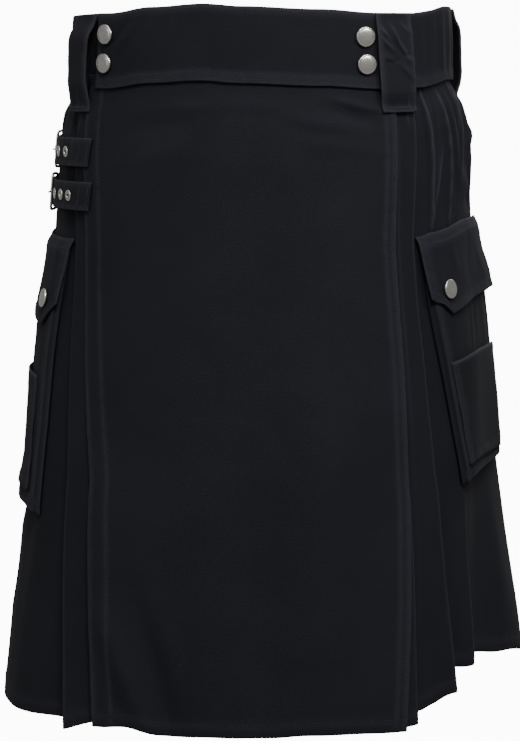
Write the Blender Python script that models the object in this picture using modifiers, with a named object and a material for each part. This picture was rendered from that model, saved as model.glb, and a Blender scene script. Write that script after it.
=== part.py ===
# A black cotton utility kilt, worn size, standing open as on a body.
# The wearer faces -Y and the wearer's left is +X. Z is up, and z = 0 is the top of the waistband.
# Every cloth piece is a grid laid on one garment form, then given its thickness.
import math

import bmesh
import bpy
from mathutils import Matrix, Vector

# Driving dimensions, in metres
LENGTH = 0.610
BAND_HEIGHT = 0.064
CLOTH = 0.0014
BAND_CLOTH = 0.0026
STRAP_CLOTH = 0.0020
SEAM_GAP = 0.0005

# The garment form, one row a level. Drop is measured down from the top edge, and centre is
# how far the plan's centre lies behind the axis.
FORM = (
    # drop, half_width, front, back, centre, squareness
    (0.000, 0.1660, 0.1110, 0.1130, 0.008, 2.10),
    (0.064, 0.1675, 0.1130, 0.1160, 0.012, 2.10),
    (0.085, 0.1742, 0.1170, 0.1220, 0.014, 2.12),
    (0.120, 0.1805, 0.1210, 0.1280, 0.018, 2.15),
    (0.190, 0.1860, 0.1280, 0.1380, 0.023, 2.20),
    (0.300, 0.1970, 0.1400, 0.1560, 0.034, 2.35),
    (0.420, 0.2080, 0.1540, 0.1740, 0.042, 2.45),
    (0.500, 0.2180, 0.1620, 0.1840, 0.038, 2.45),
    (0.610, 0.2335, 0.1730, 0.1950, 0.030, 2.45),
)

# How far the two edges stand above their nominal level, by angle from the centre front in
# degrees, positive to the wearer's left
BAND_RISE = (
    # angle, rise
    (-180, -0.006),
    (-120, -0.007),
    (-85, -0.007),
    (-52, -0.005),
    (-35, 0.000),
    (-15, 0.0026),
    (0, 0.0005),
    (30, -0.002),
    (50, -0.005),
    (65, -0.005),
    (82, 0.001),
    (100, 0.000),
    (125, -0.005),
    (180, -0.006),
)
HEM_RISE = (
    # angle, rise
    (-180, 0.006),
    (-120, 0.000),
    (-85, -0.006),
    (-60, -0.007),
    (-42, -0.007),
    (-31, 0.003),
    (-25, 0.0045),
    (-17, 0.000),
    (0, 0.001),
    (20, 0.005),
    (40, 0.006),
    (49, 0.010),
    (58.5, 0.0135),
    (62, 0.027),
    (72, 0.031),
    (88, 0.027),
    (110, 0.018),
    (150, 0.008),
    (180, 0.006),
)

# How far the wearer's left side falls inward of the form beside the apron, and how far the
# right side stands fuller below its pocket. Each SPAN gives the angles or drops where a form
# starts, is full, is still full and has ended.
SIDE_HOLLOW = (
    # drop, depth
    (0.100, 0.000),
    (0.190, 0.007),
    (0.250, 0.012),
    (0.420, 0.016),
    (0.610, 0.029),
)
HOLLOW_SPAN = (37.0, 56.0, 76.0, 100.0)
RIGHT_FULLNESS = (
    # drop, height
    (0.390, 0.000),
    (0.460, 0.0075),
    (0.535, 0.0085),
    (0.610, 0.0030),
)
FULLNESS_SPAN = (58.0, 74.0, 88.0, 104.0)

# Upright ridges that the elastic draws in above the left pocket: two waves a degree apart
GATHER_HEIGHT = 0.0013
GATHER_DROPS = (0.060, 0.095, 0.150, 0.192)
GATHER_SPAN = (64.0, 70.0, 100.0, 106.0)
GATHER_WAVES = (
    # degrees of wave a degree, start, share
    (36.0, 0.0, 1.0),
    (23.0, 40.0, 0.5),
)

# The pocket panel beside the fold ahead of it, closed at the hip and open at the hem, and the
# last soft wave of the left one at the hem
FOOT_DEPTH = (0.0050, 0.0130)
FOOT_SPAN = (6.0, 20.0)
BACK_RISE_SPAN = 18.0
HEM_WAVE_FROM = 0.425
HEM_CREST = 0.012
HEM_CREST_SPAN = (59.0, 67.0, 68.0, 71.0)
HEM_TROUGH = 0.007
HEM_TROUGH_SPAN = (68.0, 71.5, 73.0, 90.0)
FOLD_LIFT = 0.24
FOLD_LIFT_FROM = 0.42

# Levels at which the fold and edge angles below are given
MARKS = (0.050, 0.200, 0.400, 0.610)

# Where the aprons start to hang free of the cloth below them, and by how much at the hem
HANG_FROM = 0.22
APRON_HANG = (0.0060, 0.0095)
APRON_SEWN_SPAN = (30.0, 40.0)
STRIP_STAND = 0.0030
STRIP_WIDTH = 9.0
STRIP_DROPS = (0.25, 0.45)
UNDER_APRON_LAP = 0.0009
UNDER_APRON_HANG = 0.0040

# Outer apron edges in degrees at those levels: the wearer's right one is free, the left one
# is sewn down to the bartack
APRON_FREE_EDGE = (-62.0, -51.2, -36.8, -32.2)
APRON_SEWN_EDGE = (55.0, 47.0, 41.8, 38.7)
UNDER_APRON_RIGHT = (-47.0, -41.5, -34.0, -31.0)
UNDER_APRON_LEFT = (33.0, 32.0, 29.0, 28.0)

# Folds ahead of the pocket panel, front to back, as positive angles at the four levels: edge
# is the fold that shows and inner the hidden one. START is where each side's cloth begins.
LEFT_FRONT_FOLDS = (
    {"edge": (52.0, 47.0, 42.8, 42.6), "inner": (44.5, 40.0, 36.5, 35.5)},
    {"edge": (62.0, 55.5, 53.8, 58.6), "inner": (57.0, 51.6, 49.0, 51.6)},
)
RIGHT_FRONT_FOLDS = ({"edge": (68.0, 56.8, 45.6, 40.0), "inner": (60.0, 49.0, 38.5, 34.5)},)
LEFT_START = (40.0, 36.5, 33.0, 32.0)
RIGHT_START = (43.0, 37.5, 30.5, 27.5)
SIDE_BACK_EDGE = (108.0, 108.0, 109.0, 110.0)

# Back pleats: the fold edges point to the centre back, where two of them meet. Underlay,
# shoulder, foot and turn are widths in degrees, from a fold's edge.
BACK_PLEATS = 5
FIRST_BACK_EDGE = 121.5
LAST_BACK_EDGE = 176.5
UNDERLAY = 8.0
SHOULDER = 3.2
FOOT = 1.2
FOLD_TURN = 0.6
PLEAT_STITCH_END = 0.200
LAYER = 0.0030
SPLAY_OUT = 0.008
SPLAY_IN = 0.014

# Cargo pockets, as positive angles and drops
POCKET_TOP = 0.2045
POCKET_BOTTOM = (0.4370, 0.4225)
POCKET_FRONT = {"left": (58.8, 67.0), "right": (60.0, 57.0)}
POCKET_FRONT_LEAN = 1.8
POCKET_BACK = (94.0, 93.0)
POCKET_WALL = 0.0052
POCKET_BULGE = 0.0016
POCKET_MOUTH = 0.25
POCKET_TURN = 0.03
FLAP_TOP = (0.1940, 0.1890)
FLAP_FRONT = {"left": (57.0, 58.5), "right": (59.2, 58.6)}
FLAP_BACK = (95.5, 95.5)
FLAP_FRONT_DROP = 0.2500
FLAP_POINT_DROP = 0.2700
FLAP_BACK_DROP = 0.2560
FLAP_POINT_AT = 0.165
FLAP_LIFT = 0.0035
FLAP_HANG = 0.0012
FLAP_SNAP_DOWN = 0.70
PATCH_TOP = (0.3155, 0.3110)
PATCH_BOTTOM = (0.4180, 0.4120)
PATCH_SLACK = 0.0016
PATCH_FRONT = {"left": (62.2, 67.2), "right": (64.5, 62.0)}
PATCH_BACK = (92.8, 92.0)

# Fastenings
SNAP_RADIUS = 0.0085
SNAP_HEIGHT = 0.0034
SNAP_STAND = 0.0008
SNAPS = (
    ("snap_right_upper", -53.0, 0.0180),
    ("snap_right_lower", -53.0, 0.0425),
    ("snap_left_upper", 45.0, 0.0205),
    ("snap_left_lower", 45.0, 0.0435),
)
LOOP_WIDTH = 0.032
LOOP_END = 0.084
LOOP_SETTLE = 0.0007
LOOPS = (
    # name, centre angle, how far it stands off the band
    ("belt_loop_right_front", -63.5, 0.0078),
    ("belt_loop_left_front", 54.5, 0.0030),
    ("belt_loop_right_side", -104.0, 0.0064),
    ("belt_loop_left_side", 103.0, 0.0064),
    ("belt_loop_centre_back", 180.0, 0.0064),
)
STRAP_WIDTH = 0.0245
STRAPS = (
    # number, drop, sewn end, how far its fittings sit forward of the first strap's, in degrees
    (1, 0.1185, -53.5, 0.0),
    (2, 0.1560, -51.0, 6.0),
)
STRAP_TAIL_END = -111.0
BUCKLE_FRONT = -87.5
BUCKLE_HEEL = -94.5
BUCKLE_WIRE = 0.0013
CHAPE_END = -109.0
KEEPER_AT = -102.0
EYELET_ANGLES = (-66.5, -73.0, -79.5, -89.9, -106.8)
PRONG_EYELET = 3
EYELET_RADIUS = 0.0050
EYELET_HOLE = 0.0022
EYELET_LIFT = (0.0004, 0.0004, 0.0004, 0.0010, 0.0004)
PRONG_WIRE = 0.0009
STRAP_STEPS = 26


def clear_scene():
    for obj in list(bpy.data.objects):
        bpy.data.objects.remove(obj, do_unlink=True)


def new_collection(name):
    collection = bpy.data.collections.new(name)
    bpy.context.scene.collection.children.link(collection)
    return collection


def blend(start, end, share):
    return start + (end - start) * share


def ramp(value, low, high):
    """0 below low, 1 above high and a smooth step between them."""
    share = min(max((value - low) / (high - low), 0.0), 1.0)
    return share * share * (3.0 - 2.0 * share)


def table_at(rows, value):
    """Straight interpolation in a table whose first column is value."""
    for above, below in zip(rows, rows[1:]):
        if value <= below[0]:
            share = max((value - above[0]) / (below[0] - above[0]), 0.0)
            return [blend(a, b, share) for a, b in zip(above[1:], below[1:])]
    return list(rows[-1][1:])


def smooth_table_at(rows, value):
    """Interpolation with a level tangent at each row."""
    for above, below in zip(rows, rows[1:]):
        if value <= below[0]:
            return blend(above[1], below[1], ramp(value, above[0], below[0]))
    return rows[-1][1]


def at_marks(values, drop):
    return table_at([(mark, value) for mark, value in zip(MARKS, values)], drop)[0]


def plan_point(angle, drop):
    """The form's plan at one level: a squared oval about a centre behind the axis."""
    half_width, front, back, centre, squareness = table_at(FORM, drop)
    side, ahead = math.sin(math.radians(angle)), math.cos(math.radians(angle))
    depth = front + centre if ahead > 0 else back - centre
    reach = (abs(side) / half_width) ** squareness + (abs(ahead) / depth) ** squareness
    reach = reach ** (-1.0 / squareness)
    return Vector((reach * side, centre - reach * ahead))


def form_normal(angle, drop):
    step = 0.05
    along = plan_point(angle + step, drop) - plan_point(angle - step, drop)
    return Vector((along.y, -along.x, 0.0)).normalized()


def form_point(angle, drop, out=0.0):
    """A point on the form, moved outward by out."""
    plan = plan_point(angle, drop)
    turned = (angle + 180.0) % 360.0 - 180.0
    band_share = 1.0 - ramp(drop, 0.0, LENGTH)
    rise = blend(
        smooth_table_at(HEM_RISE, turned), smooth_table_at(BAND_RISE, turned), band_share
    )
    return Vector((plan.x, plan.y, rise - drop)) + form_normal(angle, drop) * out


def degrees_for(length, angle, drop):
    """The angle that a length along the form spans at one place."""
    return length / (form_point(angle + 0.5, drop) - form_point(angle - 0.5, drop)).length


def within(value, start, full, still, end):
    """1 between full and still, easing to 0 at start and end."""
    return ramp(value, start, full) * (1.0 - ramp(value, still, end))


def hip_open(drop):
    """0 where the pleats are stitched down, 1 at the hem."""
    return ramp(drop, PLEAT_STITCH_END, LENGTH + 0.06)


def tuck(drop):
    """The cloth passes inside the waistband and comes out below it."""
    return -0.0032 * (1.0 - ramp(drop, 0.066, 0.088))


def side_hollow(angle, drop):
    """The left side's fall inward, none under the apron and none at the back."""
    return table_at(SIDE_HOLLOW, drop)[0] * within(angle, *HOLLOW_SPAN)


def right_fullness(angle, drop):
    return table_at(RIGHT_FULLNESS, drop)[0] * within(angle, *FULLNESS_SPAN)


def gathers(angle, drop):
    """Soft upright ridges that the elastic band draws in above the pockets."""
    wave = 0.0
    for rate, start, share in GATHER_WAVES:
        wave += share * math.sin(math.radians(angle * rate + start))
    return GATHER_HEIGHT * within(drop, *GATHER_DROPS) * within(angle, *GATHER_SPAN) * wave


def side_offset(angle, drop, front_edge, on_left):
    """Mid surface of a pocket panel, which rises from under the fold ahead of it."""
    opened = hip_open(drop)
    foot = front_edge + FOOT
    span = blend(*FOOT_SPAN, opened)
    offset = -blend(*FOOT_DEPTH, opened) * (1.0 - ramp(angle, foot, foot + span))
    back_edge = SIDE_BACK_EDGE[0]
    offset += SPLAY_OUT * opened * ramp(angle, back_edge - BACK_RISE_SPAN, back_edge)
    if not on_left:
        return offset + right_fullness(angle, drop)
    offset += gathers(angle, drop) - side_hollow(angle, drop)
    grown = ramp(drop, HEM_WAVE_FROM, LENGTH)
    crest = HEM_CREST * within(angle, *HEM_CREST_SPAN)
    trough = HEM_TROUGH * within(angle, *HEM_TROUGH_SPAN)
    return offset + grown * (crest - trough)


def stations_of_fold(edge, inner, next_foot):
    """A knife fold as (angles, closed offset, offset at the hem): fold, underlay, inner fold."""
    turn = FOLD_TURN
    return [
        ([value - turn for value in edge], 0.0, SPLAY_OUT),
        (list(edge), -0.5 * LAYER, SPLAY_OUT - 0.5 * LAYER),
        ([value - turn for value in edge], -LAYER, SPLAY_OUT - LAYER),
        ([value + turn for value in inner], -LAYER, -SPLAY_IN + LAYER),
        (list(inner), -1.5 * LAYER, -SPLAY_IN + 0.5 * LAYER),
        ([value + turn for value in inner], -2.0 * LAYER, -SPLAY_IN),
    ] + next_foot


def side_stations(start, folds):
    """Front part of a pleated side: from its seam under the apron to the last inner fold."""
    first = folds[0]["edge"]
    middle = [blend(a, b, 0.5) for a, b in zip(start, first)]
    stations = [(list(start), 0.0, -0.001), (middle, 0.0, 0.002)]
    for index, fold in enumerate(folds):
        foot = []
        if index + 1 < len(folds):
            foot = [
                ([value + FOOT for value in fold["edge"]], -0.0050, -0.007),
                ([value + SHOULDER for value in fold["edge"]], -0.0006, -0.002),
            ]
        stations += stations_of_fold(fold["edge"], fold["inner"], foot)
    return stations


def grid_object(name, rows, thickness, material, collection):
    """A cloth piece: a Blender grid moved onto rows of points, then thickened."""
    across = len(rows[0])
    mesh = bpy.data.meshes.new(name)
    shape = bmesh.new()
    bmesh.ops.create_grid(shape, x_segments=across - 1, y_segments=len(rows) - 1, size=1.0)
    shape.verts.ensure_lookup_table()
    for row_index, row in enumerate(rows):
        for column, point in enumerate(row):
            shape.verts[row_index * across + column].co = point
    # Rows run downward and columns toward the wearer's left, so the faces look outward.
    if rows_face_inward(rows):
        bmesh.ops.reverse_faces(shape, faces=shape.faces)
    shape.to_mesh(mesh)
    shape.free()
    mesh.materials.append(material)
    mesh.shade_smooth()
    mesh.set_sharp_from_angle(angle=math.radians(50))
    obj = bpy.data.objects.new(name, mesh)
    collection.objects.link(obj)
    solid = obj.modifiers.new("cloth thickness", "SOLIDIFY")
    solid.thickness = thickness
    solid.offset = 0.0
    return obj


def rows_face_inward(rows):
    """Whether a grid of these rows would look toward the garment's axis."""
    middle = rows[len(rows) // 2]
    along = middle[-1] - middle[0] if len(middle) < 4 else middle[2] - middle[0]
    down = rows[-1][0] - rows[0][0]
    outward = Vector((middle[0].x, middle[0].y, 0.0))
    return along.cross(down).dot(outward) > 0


def panel_rows(drops, columns_at):
    """columns_at(drop) lists (angle, offset, lift) and the rows become points."""
    rows = []
    for drop in drops:
        row = []
        for angle, offset, lift in columns_at(drop):
            point = form_point(angle, drop, offset)
            point.z += lift
            row.append(point)
        rows.append(row)
    return rows


BODY_DROPS = (
    0.052,
    0.066,
    0.088,
    0.122,
    0.156,
    0.192,
    0.250,
    0.320,
    0.390,
    0.460,
    0.535,
    0.610,
)


def fold_lift(offset, drop):
    """Hidden folds hang a little higher than the edges that show."""
    return FOLD_LIFT * max(SPLAY_OUT - offset, 0.0) * ramp(drop, FOLD_LIFT_FROM, LENGTH)


def side_panel(name, side, start, folds, on_left, material, collection):
    """Front pleats and pocket panel of one hip. side is 1 on the wearer's left, -1 on the right."""
    front = side_stations(start, folds)
    last_edge = folds[-1]["edge"]
    face_steps = 15

    def columns(drop):
        opened = hip_open(drop)
        found = []
        for angles, closed, hem in front:
            angle = at_marks(angles, drop)
            hollow = side_hollow(angle, drop) if on_left else 0.0
            found.append((angle, blend(closed, hem, opened) + tuck(drop) - hollow))
        edge = at_marks(last_edge, drop)
        back_edge = at_marks(SIDE_BACK_EDGE, drop)
        foot = edge + FOOT
        for index in range(face_steps):
            share = index / (face_steps - 1)
            angle = blend(foot, back_edge - 3.0, share**1.12)
            found.append((angle, side_offset(angle, drop, edge, on_left) + tuck(drop)))
        for turn, closed, hem in (
            (-FOLD_TURN, 0.0, SPLAY_OUT),
            (0.0, -0.5 * LAYER, SPLAY_OUT - 0.5 * LAYER),
            (-FOLD_TURN, -LAYER, SPLAY_OUT - LAYER),
            (-UNDERLAY, -LAYER, -SPLAY_IN + LAYER),
        ):
            found.append((back_edge + turn, blend(closed, hem, opened) + tuck(drop)))
        return [(a * side, offset, fold_lift(offset, drop)) for a, offset in found]

    return grid_object(name, panel_rows(BODY_DROPS, columns), CLOTH, material, collection)


def back_panel(name, side, material, collection):
    """Back pleats of one half, from under the pocket panel's fold to the centre back."""
    spacing = (LAST_BACK_EDGE - FIRST_BACK_EDGE) / (BACK_PLEATS - 1)
    start = [value - UNDERLAY + 0.5 for value in SIDE_BACK_EDGE]
    under = -LAYER - CLOTH - SEAM_GAP
    stations = [
        (start, under, -SPLAY_IN + LAYER - CLOTH - SEAM_GAP),
        ([value + FOOT for value in SIDE_BACK_EDGE], under, -0.004),
    ]
    for index in range(BACK_PLEATS):
        edge = [FIRST_BACK_EDGE + spacing * index] * len(MARKS)
        inner = [value - UNDERLAY for value in edge]
        shoulder = [value - spacing + SHOULDER for value in edge]
        stations.append((shoulder, -0.0006, -0.001))
        is_last = index == BACK_PLEATS - 1
        foot = [] if is_last else [([value + FOOT for value in edge], -0.0050, -0.006)]
        stations += stations_of_fold(edge, inner, foot)
    stations.append(([179.85] * len(MARKS), -2.0 * LAYER, -SPLAY_IN))

    def columns(drop):
        opened = hip_open(drop)
        found = []
        for angles, closed, hem in stations:
            offset = blend(closed, hem, opened) + tuck(drop)
            found.append((at_marks(angles, drop) * side, offset, fold_lift(offset, drop)))
        return found

    return grid_object(name, panel_rows(BODY_DROPS, columns), CLOTH, material, collection)


def apron(name, left_marks, right_marks, offset_at, drops, material, collection):
    """A flat front apron between two edges."""
    steps = 18

    def columns(drop):
        left = at_marks(left_marks, drop)
        right = at_marks(right_marks, drop)
        angles = [blend(left, right, index / steps) for index in range(steps + 1)]
        return [(angle, offset_at(angle, drop), 0.0) for angle in angles]

    return grid_object(name, panel_rows(drops, columns), CLOTH, material, collection)


APRON_OUT = CLOTH + SEAM_GAP
BAND_FRONT_OUT = APRON_OUT + 0.5 * CLOTH + SEAM_GAP + 0.5 * BAND_CLOTH
BAND_UNDER_OUT = tuck(0.0) + 0.5 * CLOTH + SEAM_GAP + 0.0002 + 0.5 * BAND_CLOTH


def outer_apron_offset(angle, drop):
    """The outer apron lies on the pleats at its sewn edge and hangs free at the other."""
    hang = ramp(drop, HANG_FROM, LENGTH)
    edge = at_marks(APRON_FREE_EDGE, drop)
    strip = STRIP_STAND * (1.0 - ramp(angle, edge, edge + STRIP_WIDTH))
    sewn = ramp(angle, *APRON_SEWN_SPAN)
    return APRON_OUT + hang * blend(*APRON_HANG, sewn) + strip * ramp(drop, *STRIP_DROPS)


def under_apron_offset(angle, drop):
    hang = UNDER_APRON_HANG * ramp(drop, HANG_FROM, LENGTH)
    return tuck(drop) - CLOTH - UNDER_APRON_LAP - hang


def build_aprons(cloth, collection):
    apron(
        "apron_outer",
        APRON_FREE_EDGE,
        APRON_SEWN_EDGE,
        outer_apron_offset,
        BODY_DROPS,
        cloth,
        collection,
    )
    apron(
        "apron_under",
        UNDER_APRON_RIGHT,
        UNDER_APRON_LEFT,
        under_apron_offset,
        (0.052, 0.066, 0.088, 0.122, 0.192, 0.320, 0.460, 0.606),
        cloth,
        collection,
    )


RIPPLE = 0.0009


def band_step(angle):
    """The elastic part starts level with the front band and sinks back to the cloth."""
    return 0.0030 * (1.0 - ramp(angle, 58.0, 72.0))


def band_ripple(angle, drop):
    """Fine upright gathers of the elastic part, flat at the two sewn edges."""
    turned = angle % 360.0
    strength = ramp(turned, 60.0, 70.0) * (1.0 - ramp(turned, 286.0, 296.0))
    edge = math.sin(math.pi * min(max(drop / BAND_HEIGHT, 0.0), 1.0))
    return RIPPLE * strength * edge * (1.0 + math.cos(math.radians(turned * 60.0)))


def waistband(name, start, end, steps, offset_at, material, collection):
    drops = [BAND_HEIGHT * share for share in (0.0, 0.33, 0.67, 1.0)]
    rows = []
    for drop in drops:
        angles = [blend(start, end, index / steps) for index in range(steps + 1)]
        rows.append([form_point(angle, drop, offset_at(angle, drop)) for angle in angles])
    return grid_object(name, rows, BAND_CLOTH, material, collection)


def build_waistbands(cloth, collection):
    waistband(
        "waistband_front",
        -57.0,
        57.0,
        26,
        lambda angle, drop: BAND_FRONT_OUT,
        cloth,
        collection,
    )
    waistband(
        "waistband_back",
        57.3,
        297.8,
        80,
        lambda angle, drop: BAND_UNDER_OUT + band_step(angle) + band_ripple(angle, drop),
        cloth,
        collection,
    )
    waistband(
        "waistband_under",
        -62.0,
        33.0,
        20,
        lambda angle, drop: BAND_UNDER_OUT,
        cloth,
        collection,
    )


POCKET_SEAT = CLOTH + 0.0010
POCKET_CLEAR = 0.0003


def pocket_face(across, down):
    """Stand-off of the pocket's outer face: low at the mouth, full below it."""
    middle = math.sin(math.pi * min(max(across, 0.0), 1.0))
    full = blend(POCKET_MOUTH, 1.0, ramp(down, 0.0, 0.30))
    return POCKET_SEAT + full * (POCKET_WALL + POCKET_BULGE * middle)


def pocket_standoff(across, down):
    """The pocket's cloth: its face, with the sides and bottom turned in to the panel."""
    edge = within(across, 0.0, POCKET_TURN, 1.0 - POCKET_TURN, 1.0)
    edge *= 1.0 - ramp(down, 1.0 - 0.5 * POCKET_TURN, 1.0)
    return blend(POCKET_SEAT, pocket_face(across, down), edge)


def even_shares(steps, hems=()):
    """Shares from 0 to 1, with more beside the ends that turn in."""
    return sorted({index / steps for index in range(steps + 1)} | set(hems))


def on_panel(side, front_edge, outline, standoff, across, down):
    """A point of a piece that lies on the pocket panel. outline gives its angle and drop."""
    angle, drop = outline(across, down)
    base = side_offset(angle, drop, at_marks(front_edge, drop), side > 0)
    out = base + tuck(drop) + standoff(across, down, angle, drop)
    return form_point(angle * side, drop, out)


def frame_on_piece(point_at, across, down, out):
    """A matrix on a piece: z outward, at one place across and down, moved out."""
    step = 0.02
    here = point_at(across, down)
    along = (point_at(across + step, down) - point_at(across - step, down)).normalized()
    fall = (point_at(across, down + step) - point_at(across, down - step)).normalized()
    normal = fall.cross(along).normalized()
    if normal.dot(Vector((here.x, here.y, 0.0))) < 0:
        normal.negate()
    up = normal.cross(along)
    turn = Matrix((along, up, normal)).transposed()
    return Matrix.Translation(here + normal * out) @ turn.to_4x4()


def pocket_front(label, down):
    """The front edge runs straight down at first, then leans back."""
    return blend(*POCKET_FRONT[label], down**POCKET_FRONT_LEAN)


def pocket_share(label, angle, drop):
    """Where an angle and drop lie on the pocket, as shares across and down."""
    bottom = blend(*POCKET_BOTTOM, 0.5)
    down = min(max((drop - POCKET_TOP) / (bottom - POCKET_TOP), 0.0), 1.0)
    front = pocket_front(label, down)
    back = blend(*POCKET_BACK, down)
    return (angle - front) / (back - front), down


def over_pocket(label, angle, drop):
    return pocket_face(*pocket_share(label, angle, drop)) + CLOTH + SEAM_GAP + POCKET_CLEAR


def build_pocket(label, side, front_edge, cloth, metal, collection):
    def body_outline(across, down):
        front = pocket_front(label, down)
        back = blend(*POCKET_BACK, down)
        bottom = blend(*POCKET_BOTTOM, across)
        return blend(front, back, across), blend(POCKET_TOP, bottom, down)

    def flap_outline(across, down):
        front = blend(*FLAP_FRONT[label], down)
        back = blend(*FLAP_BACK, down)
        if across < FLAP_POINT_AT:
            bottom = blend(FLAP_FRONT_DROP, FLAP_POINT_DROP, across / FLAP_POINT_AT)
        else:
            past_point = (across - FLAP_POINT_AT) / (1.0 - FLAP_POINT_AT)
            bottom = blend(FLAP_POINT_DROP, FLAP_BACK_DROP, past_point)
        return blend(front, back, across), blend(blend(*FLAP_TOP, across), bottom, down)

    def patch_outline(across, down):
        front = blend(*PATCH_FRONT[label], down)
        back = blend(*PATCH_BACK, down)
        top, bottom = blend(*PATCH_TOP, across), blend(*PATCH_BOTTOM, across)
        return blend(front, back, across), blend(top, bottom, down)

    def body_standoff(across, down, angle, drop):
        return pocket_standoff(across, down)

    def flap_standoff(across, down, angle, drop):
        lift = FLAP_LIFT * ramp(across, 0.55, 1.0) * ramp(down, 0.25, 1.0)
        hang = over_pocket(label, angle, drop) + FLAP_HANG * down + lift
        return blend(POCKET_SEAT, hang, ramp(down, 0.0, 0.12))

    def patch_standoff(across, down, angle, drop):
        slack = PATCH_SLACK * math.sin(math.pi * across) * (1.0 - down)
        return over_pocket(label, angle, drop) + slack

    def point_on(outline, standoff):
        def point_at(across, down):
            return on_panel(side, front_edge, outline, standoff, across, down)

        return point_at

    def piece(name, point_at, columns, rows):
        points = [[point_at(across, down) for across in columns] for down in rows]
        grid_object(f"{name}_{label}", points, CLOTH, cloth, collection)

    body_at = point_on(body_outline, body_standoff)
    flap_at = point_on(flap_outline, flap_standoff)
    patch_at = point_on(patch_outline, patch_standoff)
    piece("pocket", body_at, even_shares(10, (0.03, 0.97)), even_shares(7, (0.985,)))
    piece("pocket_flap", flap_at, even_shares(11, (FLAP_POINT_AT,)), even_shares(5, (0.12,)))
    piece("patch_pocket", patch_at, even_shares(8), even_shares(4))
    out = 0.5 * CLOTH + SNAP_STAND
    seat = frame_on_piece(flap_at, FLAP_POINT_AT, FLAP_SNAP_DOWN, out)
    snap(f"snap_pocket_{label}", seat, metal, collection)


def frame_on_form(angle, drop, out):
    """A matrix on the form: z outward, x along the form toward rising angle, y up."""
    normal = form_normal(angle, drop)
    along = Vector((-normal.y, normal.x, 0.0))
    up = normal.cross(along)
    turn = Matrix((along, up, normal)).transposed()
    return Matrix.Translation(form_point(angle, drop, out)) @ turn.to_4x4()


def turned_object(name, profile, steps, material, collection):
    """A profile of (radius, height) points turned about z."""
    mesh = bpy.data.meshes.new(name)
    shape = bmesh.new()
    points = [shape.verts.new((radius, 0.0, height)) for radius, height in profile]
    for first, second in zip(points, points[1:]):
        shape.edges.new((first, second))
    shape.to_mesh(mesh)
    shape.free()
    mesh.materials.append(material)
    obj = bpy.data.objects.new(name, mesh)
    collection.objects.link(obj)
    screw = obj.modifiers.new("turn", "SCREW")
    screw.angle = math.radians(360)
    screw.steps = steps
    screw.render_steps = steps
    screw.use_merge_vertices = True
    screw.merge_threshold = 1e-5
    screw.use_smooth_shade = True
    return obj


def snap(name, seat, metal, collection):
    """A ring-spring snap cap: a flat face inside a rolled rim, with its flat back on the cloth."""
    radius, height = SNAP_RADIUS, SNAP_HEIGHT
    profile = [
        (0.0, height),
        (0.55 * radius, 0.96 * height),
        (0.82 * radius, 0.80 * height),
        (0.97 * radius, 0.45 * height),
        (radius, 0.20 * height),
        (0.93 * radius, 0.0),
        (0.0, 0.0),
    ]
    obj = turned_object(name, profile, 16, metal, collection)
    obj.matrix_world = seat
    return obj


def band_outside(angle):
    """Offset of the waistband's outer face at one angle, over the gathers' crests."""
    turned = angle % 360.0
    if turned < 57.15 or turned > 302.85:
        return BAND_FRONT_OUT + 0.5 * BAND_CLOTH
    return BAND_UNDER_OUT + band_step(turned) + 2.0 * RIPPLE + 0.5 * BAND_CLOTH


def build_belt_loops(cloth, collection):
    for name, centre, stand_off in LOOPS:
        half = 0.5 * LOOP_WIDTH
        seat = 0.5 * STRAP_CLOTH + SEAM_GAP
        spread = degrees_for(half, centre, 0.03)
        angles = [centre + spread * share for share in (-1.0, -0.5, 0.0, 0.5, 1.0)]
        band_face = max(band_outside(angle) for angle in angles)
        cloth_face = 0.5 * CLOTH + (APRON_OUT if abs(centre) < 70 else 0.0)
        rows = []
        for share in (0.0, 0.10, 0.24, 0.42, 0.60, 0.76, 0.90, 1.0):
            drop = blend(0.001, LOOP_END, share)
            fall = ramp(drop, BAND_HEIGHT + 0.001, LOOP_END - 0.004)
            base = blend(band_face, cloth_face, fall) + seat
            bow = stand_off * ramp(share, 0.0, 0.26) * (1.0 - ramp(share, 0.66, 1.0))
            settle = 0.0 if abs(centre) < 70 else LOOP_SETTLE * fall
            rows.append([form_point(angle, drop, base + bow - settle) for angle in angles])
        grid_object(name, rows, STRAP_CLOTH, cloth, collection)


STRAP_ON_BODY = 0.5 * CLOTH + 0.5 * STRAP_CLOTH + SEAM_GAP + 0.0012
STRAP_ON_APRON = STRAP_ON_BODY + APRON_OUT
STRAP_ON_CHAPE = 0.0090
CHAPE_SEAT = CLOTH + SEAM_GAP + 0.0002


def strap_offset(angle, shift):
    """Mid surface of a strap: over the apron, along the hip, under the buckle's front bar and
    over its heel bar. shift moves the fittings forward."""
    at_fittings = angle - shift
    low = blend(STRAP_ON_APRON, STRAP_ON_BODY, ramp(-angle, 60.0, 66.0))
    over_heel = ramp(-at_fittings, 1.0 - BUCKLE_FRONT, -0.5 - BUCKLE_HEEL)
    return blend(low, STRAP_ON_CHAPE, over_heel)


def chape_profile(drop, shift):
    """The folded strip that holds the heel bar, as (angle, offset) pairs."""
    radius = BUCKLE_WIRE + SEAM_GAP + 0.5 * CLOTH
    heel, end = BUCKLE_HEEL + shift, CHAPE_END + shift
    per_metre = degrees_for(1.0, heel, drop)
    lay = [blend(end, heel - 4.5, share) for share in (0.0, 0.35, 0.7, 1.0)]
    points = [(angle, CHAPE_SEAT) for angle in lay]
    for turn in (-90, -45, 0, 45, 90):
        swing = math.radians(turn)
        angle = heel + math.cos(swing) * radius * per_metre
        points.append((angle, CHAPE_SEAT + radius * (1.0 + math.sin(swing))))
    points += [(angle, CHAPE_SEAT + 0.0022) for angle in reversed(lay[1:])]
    points.append((end + 0.8, CHAPE_SEAT + 0.0021))
    return points


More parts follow.
